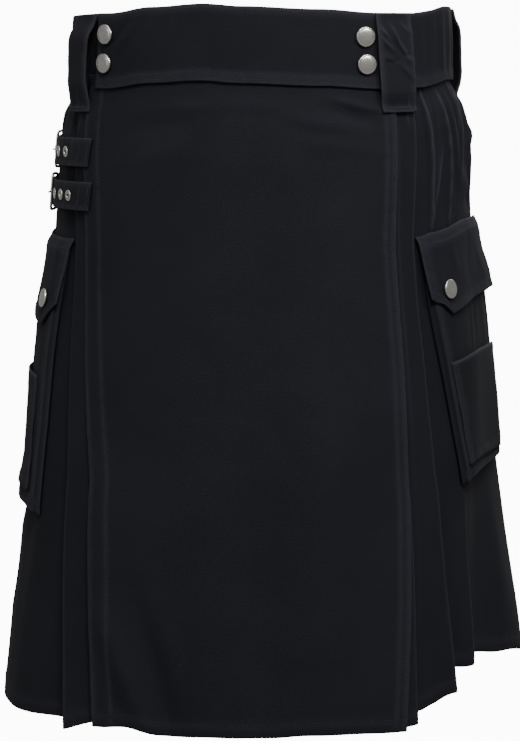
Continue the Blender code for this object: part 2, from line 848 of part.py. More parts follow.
def band_strip(name, profile, drop, width, thickness, material, collection):
    """A strip of webbing that runs round the hip: (angle, offset) pairs and a width in z."""
    rows = []
    for share in (-0.5, 0.0, 0.5):
        level = drop + share * width
        rows.append([form_point(angle, level, out) for angle, out in profile])
    return grid_object(name, rows, thickness, material, collection)


def wire_object(name, points, radius, cyclic, material, collection):
    curve = bpy.data.curves.new(name, "CURVE")
    curve.dimensions = "3D"
    curve.bevel_depth = radius
    curve.bevel_resolution = 2
    curve.use_fill_caps = not cyclic
    spline = curve.splines.new("POLY")
    spline.points.add(len(points) - 1)
    for spline_point, point in zip(spline.points, points):
        spline_point.co = (*point, 1.0)
    spline.use_cyclic_u = cyclic
    curve.materials.append(material)
    obj = bpy.data.objects.new(name, curve)
    collection.objects.link(obj)
    return obj


def buckle_points(drop, shift):
    """Centre line of the rectangular frame, with its corners rounded."""
    half = 0.5 * STRAP_WIDTH + 0.0040
    corner_angle, corner = 0.9, 0.0028
    front, heel = BUCKLE_FRONT + shift, BUCKLE_HEEL + shift
    front_out = strap_offset(front, shift) + 0.5 * STRAP_CLOTH + SEAM_GAP + BUCKLE_WIRE
    heel_out = CHAPE_SEAT + 0.5 * CLOTH + SEAM_GAP + BUCKLE_WIRE
    plan = (
        (front, -half + corner, front_out),
        (front, 0.0, front_out),
        (front, half - corner, front_out),
        (front - corner_angle, half, front_out),
        (heel + corner_angle, half, heel_out),
        (heel, half - corner, heel_out),
        (heel, 0.0, heel_out),
        (heel, -half + corner, heel_out),
        (heel + corner_angle, -half, heel_out),
        (front - corner_angle, -half, front_out),
    )
    return [form_point(angle, drop + level, out) for angle, level, out in plan]


def prong_points(drop, shift):
    """From inside the eyelet, up and over the buckle's front bar."""
    hole = EYELET_ANGLES[PRONG_EYELET] + shift
    front = BUCKLE_FRONT + shift
    rise = strap_offset(front, shift) + 0.5 * STRAP_CLOTH + 2.0 * SEAM_GAP + 2.0 * BUCKLE_WIRE
    on_bar = rise + PRONG_WIRE
    in_hole = strap_offset(hole, shift)
    return [
        form_point(hole, drop, in_hole - 0.0006),
        form_point(hole, drop, in_hole + 0.0030),
        form_point(front - 0.6, drop, on_bar),
        form_point(front + 0.8, drop, on_bar - 0.0002),
    ]


def eyelet(name, seat, metal, collection):
    profile = [
        (EYELET_HOLE, 0.0006),
        (0.5 * (EYELET_HOLE + EYELET_RADIUS), 0.0012),
        (EYELET_RADIUS, 0.0005),
        (EYELET_RADIUS, 0.0),
        (EYELET_HOLE, 0.0),
        (EYELET_HOLE, 0.0006),
    ]
    ring = turned_object(name, profile, 12, metal, collection)
    ring.matrix_world = seat


def build_strap(number, drop, sewn_end, shift, cloth, metal, collection, cutters):
    def strap_point(across, down):
        angle = blend(sewn_end, STRAP_TAIL_END + shift, across)
        return form_point(angle, drop + (down - 0.5) * STRAP_WIDTH, strap_offset(angle, shift))

    length = STRAP_TAIL_END + shift - sewn_end
    profile = []
    for index in range(STRAP_STEPS + 1):
        angle = sewn_end + length * index / STRAP_STEPS
        profile.append((angle, strap_offset(angle, shift)))
    strap = band_strip(
        f"strap_{number}", profile, drop, STRAP_WIDTH, STRAP_CLOTH, cloth, collection
    )
    for index, (angle, lift) in enumerate(zip(EYELET_ANGLES, EYELET_LIFT), start=1):
        across = (angle + shift - sewn_end) / length
        seat = frame_on_piece(strap_point, across, 0.5, 0.5 * STRAP_CLOTH + lift)
        eyelet(f"eyelet_{number}_{index}", seat, metal, collection)
        cutter = hole_cutter(f"hole_{number}_{index}", seat, cutters)
        cut = strap.modifiers.new("eyelet hole", "BOOLEAN")
        cut.operation = "DIFFERENCE"
        cut.object = cutter
    chape = chape_profile(drop, shift)
    chape_width = STRAP_WIDTH - 0.0005
    band_strip(f"buckle_chape_{number}", chape, drop, chape_width, CLOTH, cloth, collection)
    frame = buckle_points(drop, shift)
    wire_object(f"buckle_frame_{number}", frame, BUCKLE_WIRE, True, metal, collection)
    prong = prong_points(drop, shift)
    wire_object(f"buckle_prong_{number}", prong, PRONG_WIRE, False, metal, collection)
    keeper(number, drop, shift, cloth, collection)


def hole_cutter(name, seat, cutters):
    mesh = bpy.data.meshes.new(name)
    shape = bmesh.new()
    bmesh.ops.create_cone(
        shape,
        cap_ends=True,
        segments=10,
        radius1=EYELET_HOLE,
        radius2=EYELET_HOLE,
        depth=0.008,
    )
    shape.to_mesh(mesh)
    shape.free()
    cutter = bpy.data.objects.new(name, mesh)
    cutters.objects.link(cutter)
    cutter.matrix_world = seat
    cutter.hide_render = True
    cutter.display_type = "WIRE"
    return cutter


def keeper(number, drop, shift, cloth, collection):
    """A narrow band round the strap's tail and the chape."""
    half = 0.5 * STRAP_WIDTH + 0.0018
    centre = KEEPER_AT + shift
    top_out = strap_offset(centre, shift) + 0.5 * STRAP_CLOTH + SEAM_GAP + 0.5 * CLOTH
    spread = degrees_for(0.004, centre, drop)
    round_off = 0.0012
    profile = (
        (-half, CHAPE_SEAT),
        (-half, top_out - round_off),
        (-half + round_off, top_out),
        (0.0, top_out),
        (half - round_off, top_out),
        (half, top_out - round_off),
        (half, CHAPE_SEAT),
    )
    rows = []
    for level, out in profile:
        angles = (centre - spread, centre, centre + spread)
        rows.append([form_point(angle, drop + level, out) for angle in angles])
    grid_object(f"strap_keeper_{number}", rows, CLOTH, cloth, collection)


def make_material(name, color, roughness, metallic):
    material = bpy.data.materials.new(name)
    material.use_nodes = True
    shader = material.node_tree.nodes["Principled BSDF"]
    shader.inputs["Base Color"].default_value = (*color, 1.0)
    shader.inputs["Roughness"].default_value = roughness
    shader.inputs["Metallic"].default_value = metallic
    material.diffuse_color = (*color, 1.0)
    return material


def main():
    clear_scene()
    kilt = new_collection("utility_kilt")
    cutters = new_collection("cutters")
    twill = make_material("black_cotton_twill", (0.012, 0.012, 0.015), 0.9, 0.0)
    tape = make_material("black_strap_twill", (0.014, 0.014, 0.017), 0.85, 0.0)
    nickel = make_material("nickel_plated_brass", (0.62, 0.61, 0.58), 0.28, 1.0)
    build_waistbands(twill, kilt)
    build_aprons(twill, kilt)
    side_panel("side_panel_left", 1, LEFT_START, LEFT_FRONT_FOLDS, True, twill, kilt)
    side_panel("side_panel_right", -1, RIGHT_START, RIGHT_FRONT_FOLDS, False, twill, kilt)
    back_panel("back_pleats_left", 1, twill, kilt)
    back_panel("back_pleats_right", -1, twill, kilt)
    build_pocket("left", 1, LEFT_FRONT_FOLDS[-1]["edge"], twill, nickel, kilt)
    build_pocket("right", -1, RIGHT_FRONT_FOLDS[-1]["edge"], twill, nickel, kilt)
    for name, angle, drop in SNAPS:
        out = BAND_FRONT_OUT + 0.5 * BAND_CLOTH + SEAM_GAP
        snap(name, frame_on_form(angle, drop, out), nickel, kilt)
    build_belt_loops(tape, kilt)
    for number, drop, sewn_end, shift in STRAPS:
        build_strap(number, drop, sewn_end, shift, tape, nickel, kilt, cutters)


main()
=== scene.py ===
import functools
import math

import bmesh
import bpy
from mathutils import Matrix, Vector, noise


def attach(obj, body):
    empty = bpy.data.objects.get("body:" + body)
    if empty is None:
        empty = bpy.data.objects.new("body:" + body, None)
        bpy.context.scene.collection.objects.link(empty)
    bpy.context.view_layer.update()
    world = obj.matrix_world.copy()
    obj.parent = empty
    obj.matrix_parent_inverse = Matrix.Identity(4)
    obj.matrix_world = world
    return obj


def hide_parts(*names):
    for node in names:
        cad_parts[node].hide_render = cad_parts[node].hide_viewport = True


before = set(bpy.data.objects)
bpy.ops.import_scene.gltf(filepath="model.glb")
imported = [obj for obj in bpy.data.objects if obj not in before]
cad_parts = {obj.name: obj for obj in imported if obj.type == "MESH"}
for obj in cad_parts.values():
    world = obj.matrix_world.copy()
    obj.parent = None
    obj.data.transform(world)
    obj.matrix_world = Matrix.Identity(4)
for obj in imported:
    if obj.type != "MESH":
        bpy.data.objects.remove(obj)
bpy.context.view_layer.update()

print("frame loaded:", len(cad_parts), "nodes")

# The worn form, in metres, as the solids have it. Angles are degrees from the centre front,
# positive to the wearer's left, and a drop is measured down from the waistband's top edge.
form = {
    "length": 0.610,
    "bandHeight": 0.064,
    "cloth": 0.0014,
    "bandCloth": 0.0026,
    "strapCloth": 0.0020,
    "seamGap": 0.0005,
    "levels": (
        # drop, half width, front, back, centre, squareness
        (0.000, 0.1660, 0.1110, 0.1130, 0.008, 2.10),
        (0.064, 0.1675, 0.1130, 0.1160, 0.012, 2.10),
        (0.085, 0.1742, 0.1170, 0.1220, 0.014, 2.12),
        (0.120, 0.1805, 0.1210, 0.1280, 0.018, 2.15),
        (0.190, 0.1860, 0.1280, 0.1380, 0.023, 2.20),
        (0.300, 0.1970, 0.1400, 0.1560, 0.034, 2.35),
        (0.420, 0.2080, 0.1540, 0.1740, 0.042, 2.45),
        (0.500, 0.2180, 0.1620, 0.1840, 0.038, 2.45),
        (0.610, 0.2335, 0.1730, 0.1950, 0.030, 2.45),
    ),
    "bandRise": (
        # angle, rise
        (-180, -0.006),
        (-120, -0.007),
        (-85, -0.007),
        (-52, -0.005),
        (-35, 0.000),
        (-15, 0.0026),
        (0, 0.0005),
        (30, -0.002),
        (50, -0.005),
        (65, -0.005),
        (82, 0.001),
        (100, 0.000),
        (125, -0.005),
        (180, -0.006),
    ),
    "hemRise": (
        # angle, rise
        (-180, 0.006),
        (-120, 0.000),
        (-85, -0.006),
        (-60, -0.007),
        (-42, -0.007),
        (-31, 0.003),
        (-25, 0.0045),
        (-17, 0.000),
        (0, 0.001),
        (20, 0.005),
        (40, 0.006),
        (49, 0.010),
        (58.5, 0.0135),
        (62, 0.027),
        (72, 0.031),
        (88, 0.027),
        (110, 0.018),
        (150, 0.008),
        (180, 0.006),
    ),
    "sideHollow": (
        # drop, depth
        (0.100, 0.000),
        (0.190, 0.007),
        (0.250, 0.012),
        (0.420, 0.016),
        (0.610, 0.029),
    ),
    "rightFullness": (
        # drop, height
        (0.390, 0.000),
        (0.460, 0.0075),
        (0.535, 0.0085),
        (0.610, 0.0030),
    ),
    "marks": (0.050, 0.200, 0.400, 0.610),  # the levels at which edges are given
}
apronOut = form["cloth"] + form["seamGap"]
bandFrontOut = apronOut + 0.5 * form["cloth"] + form["seamGap"] + 0.5 * form["bandCloth"]


def mix(start, end, share):
    return start + (end - start) * share


def ramp(value, low, high):
    share = min(max((value - low) / (high - low), 0.0), 1.0)
    return share * share * (3.0 - 2.0 * share)


def tableAt(rows, value):
    for above, below in zip(rows, rows[1:]):
        if value <= below[0]:
            share = max((value - above[0]) / (below[0] - above[0]), 0.0)
            return [mix(a, b, share) for a, b in zip(above[1:], below[1:])]
    return list(rows[-1][1:])


def smoothTableAt(rows, value):
    for above, below in zip(rows, rows[1:]):
        if value <= below[0]:
            return mix(above[1], below[1], ramp(value, above[0], below[0]))
    return rows[-1][1]


def atMarks(values, drop):
    return tableAt(list(zip(form["marks"], values)), drop)[0]


@functools.lru_cache(maxsize=None)
def levelAt(drop):
    # the levels are eased into each other here, so that no ring shows as a facet
    low = tableAt(form["levels"], max(drop - 0.012, 0.0))
    high = tableAt(form["levels"], drop + 0.012)
    here = tableAt(form["levels"], drop)
    return [0.25 * (a + 2.0 * b + c) for a, b, c in zip(low, here, high)]


def planPoint(angle, drop):
    halfWidth, front, back, centre, squareness = levelAt(drop)
    side, ahead = math.sin(math.radians(angle)), math.cos(math.radians(angle))
    depth = front + centre if ahead > 0 else back - centre
    reach = (abs(side) / halfWidth) ** squareness + (abs(ahead) / depth) ** squareness
    reach = reach ** (-1.0 / squareness)
    return Vector((reach * side, centre - reach * ahead))


def formNormal(angle, drop):
    along = planPoint(angle + 0.05, drop) - planPoint(angle - 0.05, drop)
    return Vector((along.y, -along.x, 0.0)).normalized()


# Creases that go through every layer. A height is a ridge, and a negative one a trough.
creases = {
    "metresPerDegree": 0.0033,
    "strength": 2.1,
    "drift": 0.35,  # degrees that the cloth wanders sideways between hip and hem
    "hemWander": 0.0012,
    "slack": 0.0006,  # broad unevenness of the hanging cloth
    "rows": (
        # angle, drop, to angle, to drop, half width, height
        (33.0, 0.0750, 49.0, 0.0830, 0.0030, 0.0013),
        (28.0, 0.0830, 47.0, 0.0930, 0.0050, -0.0008),
        (14.0, 0.0900, 42.0, 0.1010, 0.0060, 0.0007),
        (20.0, 0.1120, 46.0, 0.1160, 0.0080, 0.0006),
        (-12.0, 0.0800, 20.0, 0.0840, 0.0060, 0.0004),
        (-30.0, 0.0880, -8.0, 0.0850, 0.0060, 0.0005),
        (-44.0, 0.1020, -18.0, 0.0990, 0.0090, -0.0006),
        (-42.0, 0.1300, -16.0, 0.1220, 0.0100, 0.0006),
        (-51.5, 0.0290, -44.5, 0.0090, 0.0028, -0.0011),
        (-48.5, 0.0300, -40.5, 0.0120, 0.0040, 0.0007),
        (-31.0, 0.5150, -21.0, 0.6080, 0.0090, 0.0018),
        (-24.0, 0.4900, -14.0, 0.6050, 0.0110, -0.0014),
        (-16.0, 0.5200, -9.0, 0.6100, 0.0120, 0.0010),
        (8.0, 0.4200, 6.0, 0.6100, 0.0220, -0.0016),
        (22.0, 0.3400, 23.0, 0.6100, 0.0200, 0.0018),
        (-6.0, 0.3600, -8.0, 0.6000, 0.0220, 0.0014),
        (30.0, 0.2600, 31.0, 0.6100, 0.0140, -0.0012),
        (58.0, 0.0660, 57.0, 0.1000, 0.0030, 0.0007),
        (62.5, 0.0640, 61.0, 0.0950, 0.0022, -0.0008),
        (81.5, 0.0640, 80.5, 0.1050, 0.0022, 0.0012),
        (84.0, 0.0900, 80.0, 0.1500, 0.0024, 0.0010),
        (88.5, 0.0640, 88.0, 0.0950, 0.0020, -0.0008),
        (97.0, 0.0900, 88.0, 0.1350, 0.0026, 0.0012),
        (104.0, 0.0660, 103.0, 0.1100, 0.0030, 0.0012),
        (-63.0, 0.0680, -62.0, 0.1000, 0.0026, 0.0006),
        (-92.0, 0.0660, -91.0, 0.0980, 0.0022, -0.0008),
        (115.0, 0.0660, 116.0, 0.1050, 0.0030, 0.0009),
        (126.0, 0.0660, 125.0, 0.1000, 0.0030, 0.0008),
        (138.0, 0.0660, 139.0, 0.1080, 0.0030, 0.0009),
        (152.0, 0.0660, 151.0, 0.1000, 0.0028, 0.0008),
        (168.0, 0.0660, 169.0, 0.1060, 0.0030, 0.0009),
        (-110.0, 0.0660, -111.0, 0.1060, 0.0030, 0.0010),
        (-122.0, 0.0660, -121.0, 0.0990, 0.0028, 0.0008),
        (-136.0, 0.0660, -137.0, 0.1080, 0.0030, 0.0009),
        (-149.0, 0.0660, -148.0, 0.1000, 0.0028, 0.0008),
        (-165.0, 0.0660, -166.0, 0.1050, 0.0030, 0.0009),
        (66.0, 0.0640, 62.5, 0.1900, 0.0026, 0.0022),
        (69.5, 0.0700, 67.0, 0.1350, 0.0030, -0.0012),
        (73.0, 0.0730, 71.5, 0.1900, 0.0022, 0.0022),
        (75.5, 0.0800, 74.5, 0.1800, 0.0026, -0.0012),
        (70.0, 0.1200, 62.0, 0.1890, 0.0026, 0.0012),
        (77.5, 0.0760, 79.0, 0.1500, 0.0036, 0.0012),
        (90.5, 0.1350, 77.0, 0.1860, 0.0034, 0.0016),
        (94.0, 0.0700, 90.0, 0.1750, 0.0040, 0.0017),
        (86.0, 0.0680, 85.0, 0.1300, 0.0036, 0.0012),
        (100.0, 0.0680, 98.0, 0.1500, 0.0044, 0.0014),
        (-70.0, 0.0680, -69.0, 0.1150, 0.0036, 0.0008),
        (-79.0, 0.0680, -80.0, 0.1080, 0.0040, 0.0010),
        (-88.0, 0.0680, -87.0, 0.1100, 0.0036, 0.0009),
        (-97.0, 0.0680, -99.0, 0.1150, 0.0044, 0.0010),
        (-88.0, 0.4300, -92.0, 0.6050, 0.0160, 0.0022),
        (-72.0, 0.4500, -74.0, 0.6050, 0.0160, -0.0020),
        (-58.0, 0.3800, -60.0, 0.6050, 0.0140, 0.0014),
        (88.0, 0.4500, 91.0, 0.6050, 0.0160, 0.0020),
        (128.0, 0.3200, 130.0, 0.5900, 0.0120, 0.0010),
        (-141.0, 0.3000, -138.0, 0.5700, 0.0120, 0.0011),
        (156.0, 0.2500, 153.0, 0.5200, 0.0120, -0.0010),
        (-160.0, 0.3500, -163.0, 0.6000, 0.0120, 0.0010),
        (150.0, 0.0740, 164.0, 0.0900, 0.0050, 0.0008),
        (-172.0, 0.0760, -150.0, 0.0860, 0.0050, 0.0008),
        (-128.0, 0.0720, -118.0, 0.0950, 0.0050, 0.0007),
    ),
}


def creaseHeight(angle, drop):
    perDegree = creases["metresPerDegree"]
    total = 0.0
    for fromAngle, fromDrop, toAngle, toDrop, halfWidth, height in creases["rows"]:
        reach = 3.0 * halfWidth
        if not fromDrop - reach < drop < max(toDrop, fromDrop) + reach and not (
            toDrop < fromDrop and toDrop - reach < drop < fromDrop + reach
        ):
            continue
        if not (
            min(fromAngle, toAngle) - reach / perDegree
            < angle
            < max(fromAngle, toAngle) + reach / perDegree
        ):
            continue
        runX, runY = (toAngle - fromAngle) * perDegree, toDrop - fromDrop
        hereX, hereY = (angle - fromAngle) * perDegree, drop - fromDrop
        share = (hereX * runX + hereY * runY) / (runX * runX + runY * runY)
        held = min(max(share, 0.0), 1.0)
        awayX, awayY = hereX - held * runX, hereY - held * runY
        fall = math.exp(-(awayX * awayX + awayY * awayY) / (halfWidth * halfWidth))
        strength = creases["strength"] * (0.3 + 0.7 * math.sin(math.pi * held))
        total += height * fall * strength
    return total


def formPoint(angle, drop, out=0.0):
    turned = (angle + 180.0) % 360.0 - 180.0
    hanging = ramp(drop, 0.20, form["length"])
    wander = noise.noise(Vector((turned * 0.16, drop * 7.0, 3.7))) * creases["drift"] * hanging
    slack = noise.noise(Vector((turned * 0.075, drop * 9.0, 8.1))) * creases["slack"]
    slack *= ramp(drop, 0.07, 0.16) * (1.0 + 2.0 * hanging)
    placed = angle + wander
    plan = planPoint(placed, drop)
    bandShare = 1.0 - ramp(drop, 0.0, form["length"])
    rise = mix(
        smoothTableAt(form["hemRise"], turned), smoothTableAt(form["bandRise"], turned), bandShare
    )
    rise += noise.noise(Vector((turned * 0.11, 0.4, 5.5))) * creases["hemWander"] * hanging
    out += creaseHeight(turned, drop) + slack
    return Vector((plan.x, plan.y, rise - drop)) + formNormal(placed, drop) * out


def degreesFor(length, angle, drop):
    return length / (planPoint(angle + 0.5, drop) - planPoint(angle - 0.5, drop)).length


def hexToLinear(code):
    channels = [int(code[index : index + 2], 16) / 255.0 for index in (1, 3, 5)]
    return tuple(
        value / 12.92 if value <= 0.04045 else ((value + 0.055) / 1.055) ** 2.4 for value in channels
    ) + (1.0,)


def addNode(material, kind, settings, links):
    node = material.node_tree.nodes.new(kind)
    for key, value in settings.items():
        if isinstance(key, int) or key in node.inputs:
            node.inputs[key].default_value = value
        else:
            setattr(node, key, value)
    for socket, source in links.items():
        material.node_tree.links.new(source, node.inputs[socket])
    return node


def newMaterial(name, settings):
    material = bpy.data.materials.new(name)
    material.use_nodes = True
    shader = material.node_tree.nodes["Principled BSDF"]
    for key, value in settings.items():
        shader.inputs[key].default_value = value
    return material, shader


# Cotton twill, dyed black in the piece: a matt cloth with fine diagonal ribs. The real ribs
# are 0.9 mm apart and would not show, so they are drawn at 1.5 mm.
twillLook = {
    "dye": "#141418",
    # a paler colour for worn edges and seams, also laid on the crests of ridges as a painted highlight
    "wearAndHighlight": "#34343b",
    "blotch": "#1b1c21",
    "ribSpacing": 1.5,
    "threadSpacing": 1.1,
    "ribAngle": 58.0,
    "roughness": 0.88,
    "sheen": 0.008,
}


def twillMaterial(name, look):
    material, shader = newMaterial(
        name,
        {
            "Roughness": look["roughness"],
            "IOR": 1.45,
            "Specular IOR Level": 0.12,
            "Sheen Weight": look["sheen"],
            "Sheen Roughness": 0.45,
        },
    )
    weave = addNode(material, "ShaderNodeUVMap", {"uv_map": "weave"}, {})
    turned = addNode(
        material,
        "ShaderNodeMapping",
        {"Rotation": (0.0, 0.0, math.radians(look["ribAngle"])), "Scale": (1000.0, 1000.0, 1.0)},
        {"Vector": weave.outputs["UV"]},
    )
    straight = addNode(
        material,
        "ShaderNodeMapping",
        {"Scale": (1000.0, 1000.0, 1.0)},
        {"Vector": weave.outputs["UV"]},
    )
    rib = addNode(
        material,
        "ShaderNodeTexWave",
        {"Scale": 0.05 * 2.0 * math.pi / look["ribSpacing"], "Distortion": 0.6, "Detail": 1.0},
        {"Vector": turned.outputs["Vector"]},
    )
    thread = addNode(
        material,
        "ShaderNodeTexWave",
        {
            "bands_direction": "Y",
            "Scale": 0.05 * 2.0 * math.pi / look["threadSpacing"],
            "Distortion": 1.2,
            "Detail": 1.0,
        },
        {"Vector": straight.outputs["Vector"]},
    )
    fuzz = addNode(
        material,
        "ShaderNodeTexNoise",
        {"Scale": 1.4, "Detail": 3.0, "Roughness": 0.7},
        {"Vector": straight.outputs["Vector"]},
    )
    place = addNode(material, "ShaderNodeTexCoord", {}, {})
    cloud = addNode(
        material,
        "ShaderNodeTexNoise",
        {"Scale": 17.0, "Detail": 4.0, "Roughness": 0.6},
        {"Vector": place.outputs["Object"]},
    )
    # the paler colour goes on by a per-point share: real wear at edges and seams, and painted highlight on
    # the crests of ridges
    wearAndHighlight = addNode(material, "ShaderNodeAttribute", {"attribute_name": "wearAndHighlight"}, {})
    spotty = addNode(
        material,
        "ShaderNodeMath",
        {"operation": "MULTIPLY"},
        {0: wearAndHighlight.outputs["Fac"], 1: fuzz.outputs["Fac"]},
    )
    body = addNode(
        material,
        "ShaderNodeMix",
        {"data_type": "RGBA", 6: hexToLinear(look["dye"]), 7: hexToLinear(look["blotch"])},
        {0: cloud.outputs["Fac"]},
    )
    wornAndHighlit = addNode(
        material,
        "ShaderNodeMix",
        {"data_type": "RGBA", 7: hexToLinear(look["wearAndHighlight"])},
        {0: spotty.outputs["Value"], 6: body.outputs[2]},
    )
    woven = addNode(
        material,
        "ShaderNodeMath",
        {"operation": "MULTIPLY_ADD", 1: 0.6},
        {0: thread.outputs["Fac"], 2: rib.outputs["Fac"]},
    )
    hairy = addNode(
        material,
        "ShaderNodeMath",
        {"operation": "MULTIPLY_ADD", 1: 0.8},
        {0: fuzz.outputs["Fac"], 2: woven.outputs["Value"]},
    )
    bump = addNode(
        material,
        "ShaderNodeBump",
        {"Strength": 0.4, "Distance": 0.00020},
        {"Height": hairy.outputs["Value"]},
    )
    material.node_tree.links.new(wornAndHighlit.outputs[2], shader.inputs["Base Color"])
    material.node_tree.links.new(bump.outputs["Normal"], shader.inputs["Normal"])
    return material


# Spun polyester thread, black: a little glossier than the cloth, so a seam reads as dots.
threadLook = {"dye": "#2c2c32", "plySpacing": 0.5, "roughness": 0.85}


def threadMaterial(name, look):
    material, shader = newMaterial(name, {"Roughness": look["roughness"], "Specular IOR Level": 0.12})
    place = addNode(material, "ShaderNodeTexCoord", {}, {})
    ply = addNode(
        material,
        "ShaderNodeTexNoise",
        {"Scale": 1000.0 / look["plySpacing"] * 0.25, "Detail": 1.0},
        {"Vector": place.outputs["Object"]},
    )
    shade = addNode(
        material,
        "ShaderNodeMix",
        {"data_type": "RGBA", 6: hexToLinear(look["dye"]), 7: hexToLinear("#222227")},
        {0: ply.outputs["Fac"]},
    )
    material.node_tree.links.new(shade.outputs[2], shader.inputs["Base Color"])
    return material


# Nickel plate over stamped brass: bright, with the faint turning marks of a tumbled cap.
nickelLook = {"plate": "#d3d1cb", "dull": "#9d9a93", "roughness": 0.24, "grain": 0.6}


def nickelMaterial(name, look):
    material, shader = newMaterial(name, {"Metallic": 1.0})
    place = addNode(material, "ShaderNodeTexCoord", {}, {})
    haze = addNode(
        material,
        "ShaderNodeTexNoise",
        {"Scale": 220.0, "Detail": 4.0, "Roughness": 0.65},
        {"Vector": place.outputs["Object"]},
    )
    plate = addNode(
        material,
        "ShaderNodeMix",
        {"data_type": "RGBA", 6: hexToLinear(look["plate"]), 7: hexToLinear(look["dull"])},
        {0: haze.outputs["Fac"]},
    )
    gloss = addNode(
        material,
        "ShaderNodeMapRange",
        {"To Min": look["roughness"] - 0.08, "To Max": look["roughness"] + 0.16},
        {"Value": haze.outputs["Fac"]},
    )
    scratch = addNode(
        material,
        "ShaderNodeBump",
        {"Strength": 0.12, "Distance": 0.0001},
        {"Height": haze.outputs["Fac"]},
    )
    material.node_tree.links.new(plate.outputs[2], shader.inputs["Base Color"])
    material.node_tree.links.new(gloss.outputs["Result"], shader.inputs["Roughness"])
    material.node_tree.links.new(scratch.outputs["Normal"], shader.inputs["Normal"])
    return material


blackTwill = twillMaterial("blackCottonTwill", twillLook)
strapTwill = twillMaterial(
    "blackStrapTwill", {**twillLook, "dye": "#151519", "ribSpacing": 1.3, "roughness": 0.8}
)
blackThread = threadMaterial("blackPolyesterThread", threadLook)
nickelPlate = nickelMaterial("nickelPlatedBrass", nickelLook)
print("materials made")

# How every cloth piece is sewn: widths of turned cloth and how the thread draws it in
sewing = {
    "turnedThickness": 0.0021,
    # how strongly the crests of ridges are painted paler: a painted highlight, with a little wear
    "crestHighlightAndWear": 0.9,
    "puckerDepth": 0.00075,
    "puckerReach": 0.0042,
    "puckerSpacing": 0.0075,
    "stitchPitch": 0.0038,
    "stitchLength": 0.0028,
    "stitchWidth": 0.00065,
    "stitchHeight": 0.00028,
}


def edgeDistances(rows):
    # for each point, how far it lies from the four edges, along the cloth
    left = []
    for row in rows:
        run = [0.0]
        for first, second in zip(row, row[1:]):
            run.append(run[-1] + (second - first).length)
        left.append(run)
    top = [[0.0] * len(rows[0])]
    for above, below in zip(rows, rows[1:]):
        top.append([t + (b - a).length for t, a, b in zip(top[-1], above, below)])
    return {
        "left": left,
        "right": [[run[-1] - value for value in run] for run in left],
        "top": top,
        "bottom": [[top[-1][i] - value for i, value in enumerate(run)] for run in top],
    }


def gridNormals(rows):
    last, end = len(rows) - 1, len(rows[0]) - 1
    found = []
    for r, row in enumerate(rows):
        line = []
        for c in range(len(row)):
            along = row[min(c + 1, end)] - row[max(c - 1, 0)]
            down = rows[min(r + 1, last)][c] - rows[max(r - 1, 0)][c]
            line.append(down.cross(along).normalized())
        found.append(line)
    middle = found[len(rows) // 2][1]
    place = rows[len(rows) // 2][1]
    if middle.dot(Vector((place.x, place.y, 0.0))) < 0:
        found = [[-normal for normal in line] for line in found]
    return found


def puckered(rows, normals, distances, seams):
    # the cloth draws up in short waves beside each row of stitching
    reach, spacing = sewing["puckerReach"], sewing["puckerSpacing"]
    for r, row in enumerate(rows):
        for c, point in enumerate(row):
            for edge, offset in seams:
                away = (distances[edge][r][c] - offset) / reach
                if abs(away) > 2.2:
                    continue
                other = "top" if edge in ("left", "right") else "left"
                along = distances[other][r][c] / spacing
                wave = noise.noise(Vector((along, offset * 90.0, away * 0.5)))
                point += normals[r][c] * wave * sewing["puckerDepth"] * math.exp(-away * away)


def punchHoles(piece, seats):
    shape = bmesh.new()
    for seat in seats:
        bmesh.ops.create_cone(
            shape,
            cap_ends=True,
            segments=24,
            radius1=0.0024,
            radius2=0.0024,
            depth=0.012,
            matrix=seat,
        )
    mesh = bpy.data.meshes.new("punch")
    shape.to_mesh(mesh)
    shape.free()
    punch = bpy.data.objects.new("punch", mesh)
    bpy.context.scene.collection.objects.link(punch)
    cut = piece.modifiers.new("eyelet holes", "BOOLEAN")
    cut.object = punch
    bpy.context.view_layer.update()
    graph = bpy.context.evaluated_depsgraph_get()
    punched = bpy.data.meshes.new_from_object(piece.evaluated_get(graph))
    piece.modifiers.clear()
    piece.data = punched
    bpy.data.objects.remove(punch)


